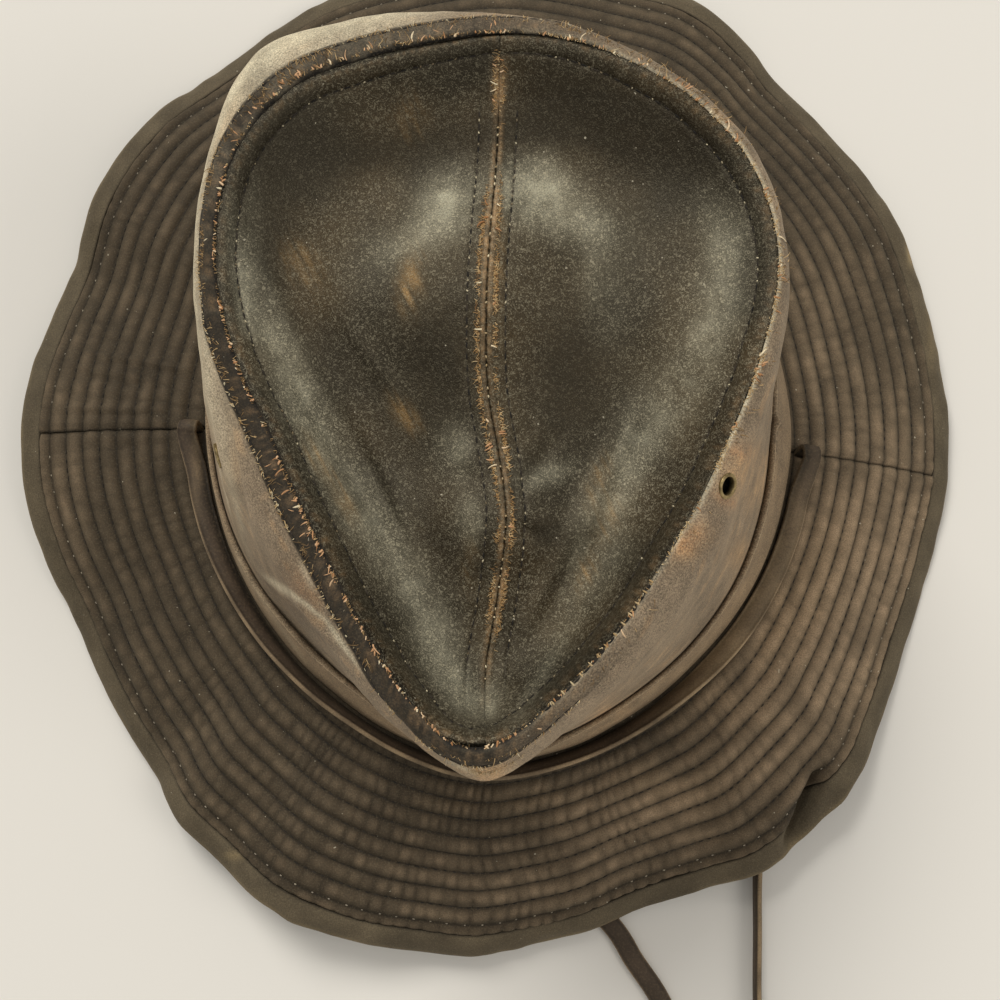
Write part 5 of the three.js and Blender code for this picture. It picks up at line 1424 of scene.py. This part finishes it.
crownStitch = {
    "size": {"length": 2.1 * mm, "width": 0.5 * mm, "height": 0.42 * mm, "dip": 0.22 * mm,
             "proud": 0.02 * mm},
    "pitch": 3.0 * mm, "jitter": 0.2 * mm, "seamPitch": 2.6 * mm, "seamInset": 30,
    "ladderPitch": 3.1 * mm, "ladderInset": 0.9 * mm, "ladderTurns": (277, 303), "rungShift": 1.55 * mm}


# The turn at which each of a row's places lies, in degrees.
def turnOf(row):
    return np.arctan2(row[0][:, 1], row[0][:, 0]) / degrees % 360


# Those of a row's places that are picked.
def picked(row, which):
    return tuple(values[which] for values in row)


# Stitches evenly along the lines where a grid lies so far from the rim or the seam, specks
# where their thread comes up, beads along the centre seam, and at the front a ladder of
# dark dashes and pale rungs across the rim's groove.
def makeCrownStitches():
    size, pitch, jitter = (crownStitch[key] for key in ("size", "pitch", "jitter"))
    rows = []
    for number, half in enumerate((tipLeft, tipRight)):
        for key, inset, kept in (("toRim", tip["stitchInset"], slice(4, -4)),
                                 ("toSeam", tip["seamStitch"], slice(26, -34))):
            line, off = (lineWhere(half[grid], half[key], inset)[kept] for grid in ("top", "normals"))
            rows.append(alongRow(line, off, pitch, jitter=jitter, seed=500 + number))
    stitchPiece("crown_tip_stitches", rows, size, *threads["tip"], 510, "tip_cloth")
    line, off = (lineWhere(grid, sideToRim, side["stripRow"]) for grid in (sideOuter, sideNormals))
    outerRow = alongRow(line, off, pitch, jitter=jitter, seed=520)
    outerRow = picked(outerRow, rimShare("row", turnOf(outerRow)) > 0.6)
    inner = slice(crownStitch["seamInset"], -crownStitch["seamInset"])
    seamRow = alongRow(tipLeft["top"][inner, 0], tipLeft["normals"][inner, 0], crownStitch["seamPitch"],
                       jitter=0.5 * mm, seed=525)
    line, off = (lineWhere(grid, sideToRim, crownStitch["ladderInset"]) for grid in (sideOuter, sideNormals))
    ladder = alongRow(line, off, crownStitch["ladderPitch"], jitter=0.3 * mm, seed=545)
    first, last = crownStitch["ladderTurns"]
    places, along, off = picked(ladder, (turnOf(ladder) > first) & (turnOf(ladder) < last))
    dash = dict(size, length=2.3 * mm, width=0.8 * mm, height=0.4 * mm)
    stitchPiece("rim_dashes", [(places, along, off)], dash, *threads["dash"], 546, "side_cloth")
    rung = dict(size, length=2.2 * mm, width=0.5 * mm, height=0.5 * mm, dip=0.1 * mm)
    rungs = (places + along * crownStitch["rungShift"], np.cross(along, off), off)
    stitchPiece("rim_rungs", [rungs], rung, *threads["rung"], 547, "side_cloth")
    bead = dict(size, length=0.9 * mm, width=0.5 * mm, height=0.5 * mm, dip=0)
    stitchPiece("centre_seam_beads", [thinned(seamRow, 0.6, 526)], bead, *threads["bead"], 527, "tip_cloth")
    stitchPiece("crown_side_stitches", [outerRow], size, *threads["side"], 521, "side_cloth")
    speck = dict(size, length=0.75 * mm, width=0.42 * mm, height=0.45 * mm, dip=0)
    stitchPiece("crown_tip_specks", [thinned(row, 0.5, 531 + k) for k, row in enumerate(rows)], speck,
                *threads["speck"], 535, "tip_cloth")
    stitchPiece("crown_side_specks", [thinned(outerRow, 0.45, 540)], speck, *threads["speck"], 541,
                "side_cloth")


makeCrownStitches()
print("crown stitches made")


frays = {
    "fuzz": {"length": (0.5 * mm, 2.4 * mm), "thickness": 0.19 * mm, "spread": 0.3, "curl": 0.35,
             "lift": (0.05, 0.5), "colours": ("574329", "8a6d46", "c4a576")},
    "seam": {"length": (0.4 * mm, 1.3 * mm), "thickness": 0.17 * mm, "spread": 0.5, "curl": 0.5,
             "lift": (0.05, 0.5), "colours": ("7a5a38", "b8925e", "dcc294")},
    "bars": {"length": (0.9 * mm, 2.6 * mm), "thickness": 0.5 * mm, "spread": 0.3, "curl": 0.35,
             "lift": (0.1, 0.7), "colours": ("a8764a", "d3a67c", "ecdcb8")},
    "cream": {"length": (0.4 * mm, 1.4 * mm), "thickness": 0.22 * mm, "spread": 0.6, "curl": 0.6,
              "lift": (0.0, 0.6), "colours": ("9b7a4c", "c6aa7c", "e0d0ac")},
    "point": {"length": (0.5 * mm, 1.5 * mm), "thickness": 0.16 * mm, "spread": 0.9, "curl": 0.7,
              "lift": (0.0, 0.5), "colours": ("8f7850", "bfa67c", "d8c6a0")}}
eyelet = {"left": (194.0, 1.93), "right": (335.0, 2.58), "outside": 3.25 * mm, "bore": 2.3 * mm,
          "flange": 0.35 * mm, "seatEase": 0.05 * mm, "holeEase": 0.5 * mm, "holeSides": 32, "columns": 48,
          "drillOut": 4 * mm, "drillIn": 5 * mm}


# Roots spread along a line, thicker where the share is high and in clumps.
def scattered(line, off, share, count, seed, clump=5 * mm):
    random = np.random.default_rng(seed)
    reach = reachAlong(line)
    finer = np.linspace(0, reach[-1], 4 * len(reach))
    clumps = np.clip(0.55 + 0.9 * cloud(finer / clump, 0.5, seed + 7), 0.05, 1.5)
    weight = np.cumsum(np.interp(finer, reach, share) * clumps)
    spots = np.interp(random.uniform(0, weight[-1], count), weight, finer)
    return placesAt(spots, line, off)


# Threads along the raw edges: away from the centre seam on both halves, outward over the
# rim's strip in three kinds, along the strip's row of stitches, and at the front point.
def makeFrays():
    random = np.random.default_rng(600)
    for name, half, hand, seed in (("left", tipLeft, 1, 610), ("right", tipRight, -1, 630)):
        for key, count, inset in (("seam", 900, 3), ("bars", 14, 2)):
            share = eased(half["along"], 0.16, 0.26) * (1 - eased(half["along"], 0.8, 0.88))
            share = share + 0.7 * bell(half["along"], 0.05, 0.03)
            roots, along, normals = scattered(half["top"][:, inset], half["normals"][:, inset], share,
                                              count, seed)
            away = np.cross(along, normals)
            away = away * np.where(away[:, :1] * -hand > 0, 1, -1)
            roots = roots + away * random.uniform(-0.2, 0.8, (count, 1)) * mm
            away = away + random.normal(0, 0.5, (count, 1)) * along
            frayPiece("centre_seam_" + key + "_" + name, roots, away, normals, frays[key], seed + 3,
                      "tip_cloth")
    turn = turnsRound(side["columns"])[:, 0]
    fray, cream, coat = (rimShare(key, turn) for key in ("fray", "cream", "coat"))
    fray = fray * (1 - bell(turn, eyelet["right"][0], 6))
    for key, share, count, furthest in (
            ("fuzz", fray * (1 - 0.85 * cream), 3400, 3.2),
            ("bars", fray * (1 - 0.6 * cream) + bell(turn, 268, 14), 330, 0.9),
            ("cream", cream * 0.8 + 0.1 * fray, 800, 0.4)):
        seed = 650 + len(key)
        roots, along, normals = scattered(sideOuter[:, -3], sideNormals[:, -3], share, count, seed, 4 * mm)
        away = levelled(roots)
        away = unit(away - normals * (away * normals).sum(-1, keepdims=True))
        roots = roots + away * random.uniform(-0.9, furthest, (count, 1)) * mm
        away = away + random.normal(0, 0.35, (count, 1)) * along
        frayPiece("rim_" + key, roots, away, normals, frays[key], seed + 30, "side_cloth")
    line, off = (lineWhere(grid, sideToRim, side["stripRow"]) for grid in (sideOuter, sideNormals))
    roots, along, normals = scattered(line, off, coat * (coat > 0.4), 420, 670)
    frayPiece("strip_fuzz", roots, levelled(roots), normals, frays["cream"], 671, "side_cloth")
    row = sideOuter.shape[1] - 26
    roots, along, normals = scattered(sideOuter[:, row], sideNormals[:, row], bell(turn, 270, 5), 60, 690)
    frayPiece("front_point_fuzz", roots, levelled(roots), normals, frays["point"], 691, "side_cloth")


makeFrays()
print("frays made")


# Cuts a round hole through a piece along an eyelet's axis, with a drill of flat sides.
def cutHole(piece, centre, off, across, upright):
    count = eyelet["holeSides"]
    angle = anglesRound(count)[:, None]
    ring = centre + (across * np.cos(angle) + upright * np.sin(angle)) * (eyelet["bore"] + eyelet["holeEase"])
    corners = laid(np.concatenate([ring + off * eyelet["drillOut"], ring - off * eyelet["drillIn"]]))
    i = np.arange(count)
    walls = np.stack([i, (i + 1) % count, count + (i + 1) % count, count + i], 1)
    drill = putMesh("drill", corners, [walls, i[None, ::-1], count + i[None, :]], wornSide)
    cut = piece.modifiers.new("hole", "BOOLEAN")
    cut.operation, cut.object, cut.solver = "DIFFERENCE", drill, "EXACT"
    graph = bpy.context.evaluated_depsgraph_get()
    mesh = bpy.data.meshes.new_from_object(piece.evaluated_get(graph))
    piece.modifiers.remove(cut)
    piece.data = mesh
    bpy.data.objects.remove(drill)


# A ring spun round its axis: a rolled flange outside, the barrel through the cloth and a
# flange inside, as one closed profile. It sits on the highest cloth under its flange, and
# where it lies deeper than its seat it is painted nearly black, a painted shade inside the hole.
def makeEyelet(name, node, place):
    turn, level = place
    step, stepTurn = 0.01, 0.5
    centre = sidePoint(turn, level)
    off = unit(np.cross(sidePoint(turn + stepTurn, level) - sidePoint(turn - stepTurn, level),
                        sidePoint(turn, level + step) - sidePoint(turn, level - step)))
    off = off * np.sign(off @ (levelled(centre) + upward))
    across = unit(np.cross(off, upward))
    upright = np.cross(off, across)
    cutHole(bpy.data.objects["crown_side_cloth"], centre, off, across, upright)
    away = sideOuter.reshape(-1, 3) - centre
    rise = away @ off
    fromAxis = np.linalg.norm(away - rise[:, None] * off, axis=1)
    underRing = (fromAxis > eyelet["bore"]) & (fromAxis < eyelet["outside"])
    underRing = underRing & (np.abs(rise) < eyelet["drillOut"])
    seat = float(rise[underRing].max()) + eyelet["seatEase"]
    middle, reach = (eyelet["outside"] + eyelet["bore"]) / 2, (eyelet["outside"] - eyelet["bore"]) / 2
    roll = np.linspace(-0.15 * np.pi, np.pi, 12)
    radius = middle + reach * np.cos(roll)
    lift = eyelet["flange"] * np.maximum(np.sin(roll), -0.3)
    depth = -crown["cloth"] - abs(seat)
    radius = np.concatenate([radius, radius[::-1]])[None, :, None]
    height = np.concatenate([seat + lift, depth - lift[::-1]])[None, :, None]
    angle = anglesRound(eyelet["columns"])[:, None, None]
    corners = centre + across * radius * np.cos(angle) + upright * radius * np.sin(angle) + off * height
    # Painted shade down the barrel, inside the hole.
    paintedHoleShade = eased(seat - height, 0.1 * mm, 0.7 * mm) + 0 * angle
    faces = [ringFaces(*corners.shape[:2])]
    piece = putMesh(name, laid(corners.reshape(-1, 3)), faces, antiqueBrass, {"paintedHoleShade": paintedHoleShade.ravel()})
    dress(piece, "eyelet_brass", node)


makeEyelet("eyelet_left_ring", "eyelet_left", eyelet["left"])
makeEyelet("eyelet_right_ring", "eyelet_right", eyelet["right"])
print("eyelets made")


studio = {"floorHalf": 8.0, "floor": "e5e0d7", "floorRough": 0.75,
          "skyColour": (1.0, 0.99, 0.965), "sky": 0.44,
          "windowPlace": (-2.3, 4.2, 5.6), "windowSize": 3.0, "windowPower": 330.0,
          "windowColour": (1.0, 0.99, 0.955),
          "fillPlace": (3.6, -1.2, 3.6), "fillSize": 2.6, "fillPower": 56.0,
          "fillColour": (1.0, 0.975, 0.93)}


# A plain square floor.
def makeFloor():
    half = studio["floorHalf"]
    mesh = bpy.data.meshes.new("floor")
    corners = [(-half, -half, 0), (half, -half, 0), (half, half, 0), (-half, half, 0)]
    mesh.from_pydata(corners, [], [(0, 1, 2, 3)])
    material = bpy.data.materials.new("floor_paint")
    material.use_nodes = True
    shader = material.node_tree.nodes["Principled BSDF"]
    shader.inputs["Base Color"].default_value = opaque(studio["floor"])
    shader.inputs["Roughness"].default_value = studio["floorRough"]
    mesh.materials.append(material)
    floor = bpy.data.objects.new("floor", mesh)
    bpy.context.scene.collection.objects.link(floor)


# A square lamp that faces the hat.
def addLamp(name, place, size, power, colour):
    lamp = bpy.data.lights.new(name, "AREA")
    lamp.size = size
    lamp.energy = power
    lamp.color = colour
    holder = bpy.data.objects.new(name, lamp)
    forward = -unit(np.array(place))
    right = unit(np.cross(forward, upward))
    matrix = np.eye(4)
    matrix[:3, :3] = np.stack([right, np.cross(right, forward), -forward], 1)
    matrix[:3, 3] = place
    holder.matrix_world = Matrix(matrix.tolist())
    bpy.context.scene.collection.objects.link(holder)


# An even sky, a large window lamp behind the hat to its left and a small fill.
def makeLight():
    world = bpy.data.worlds.new("studio")
    world.use_nodes = True
    sky = world.node_tree.nodes["Background"]
    sky.inputs[0].default_value = (*studio["skyColour"], 1.0)
    sky.inputs[1].default_value = studio["sky"]
    bpy.context.scene.world = world
    for name in ("window", "fill"):
        addLamp(name, *(studio[name + part] for part in ("Place", "Size", "Power", "Colour")))
    bpy.context.scene.view_settings.view_transform = "Standard"


makeFloor()
makeLight()
print("studio made")
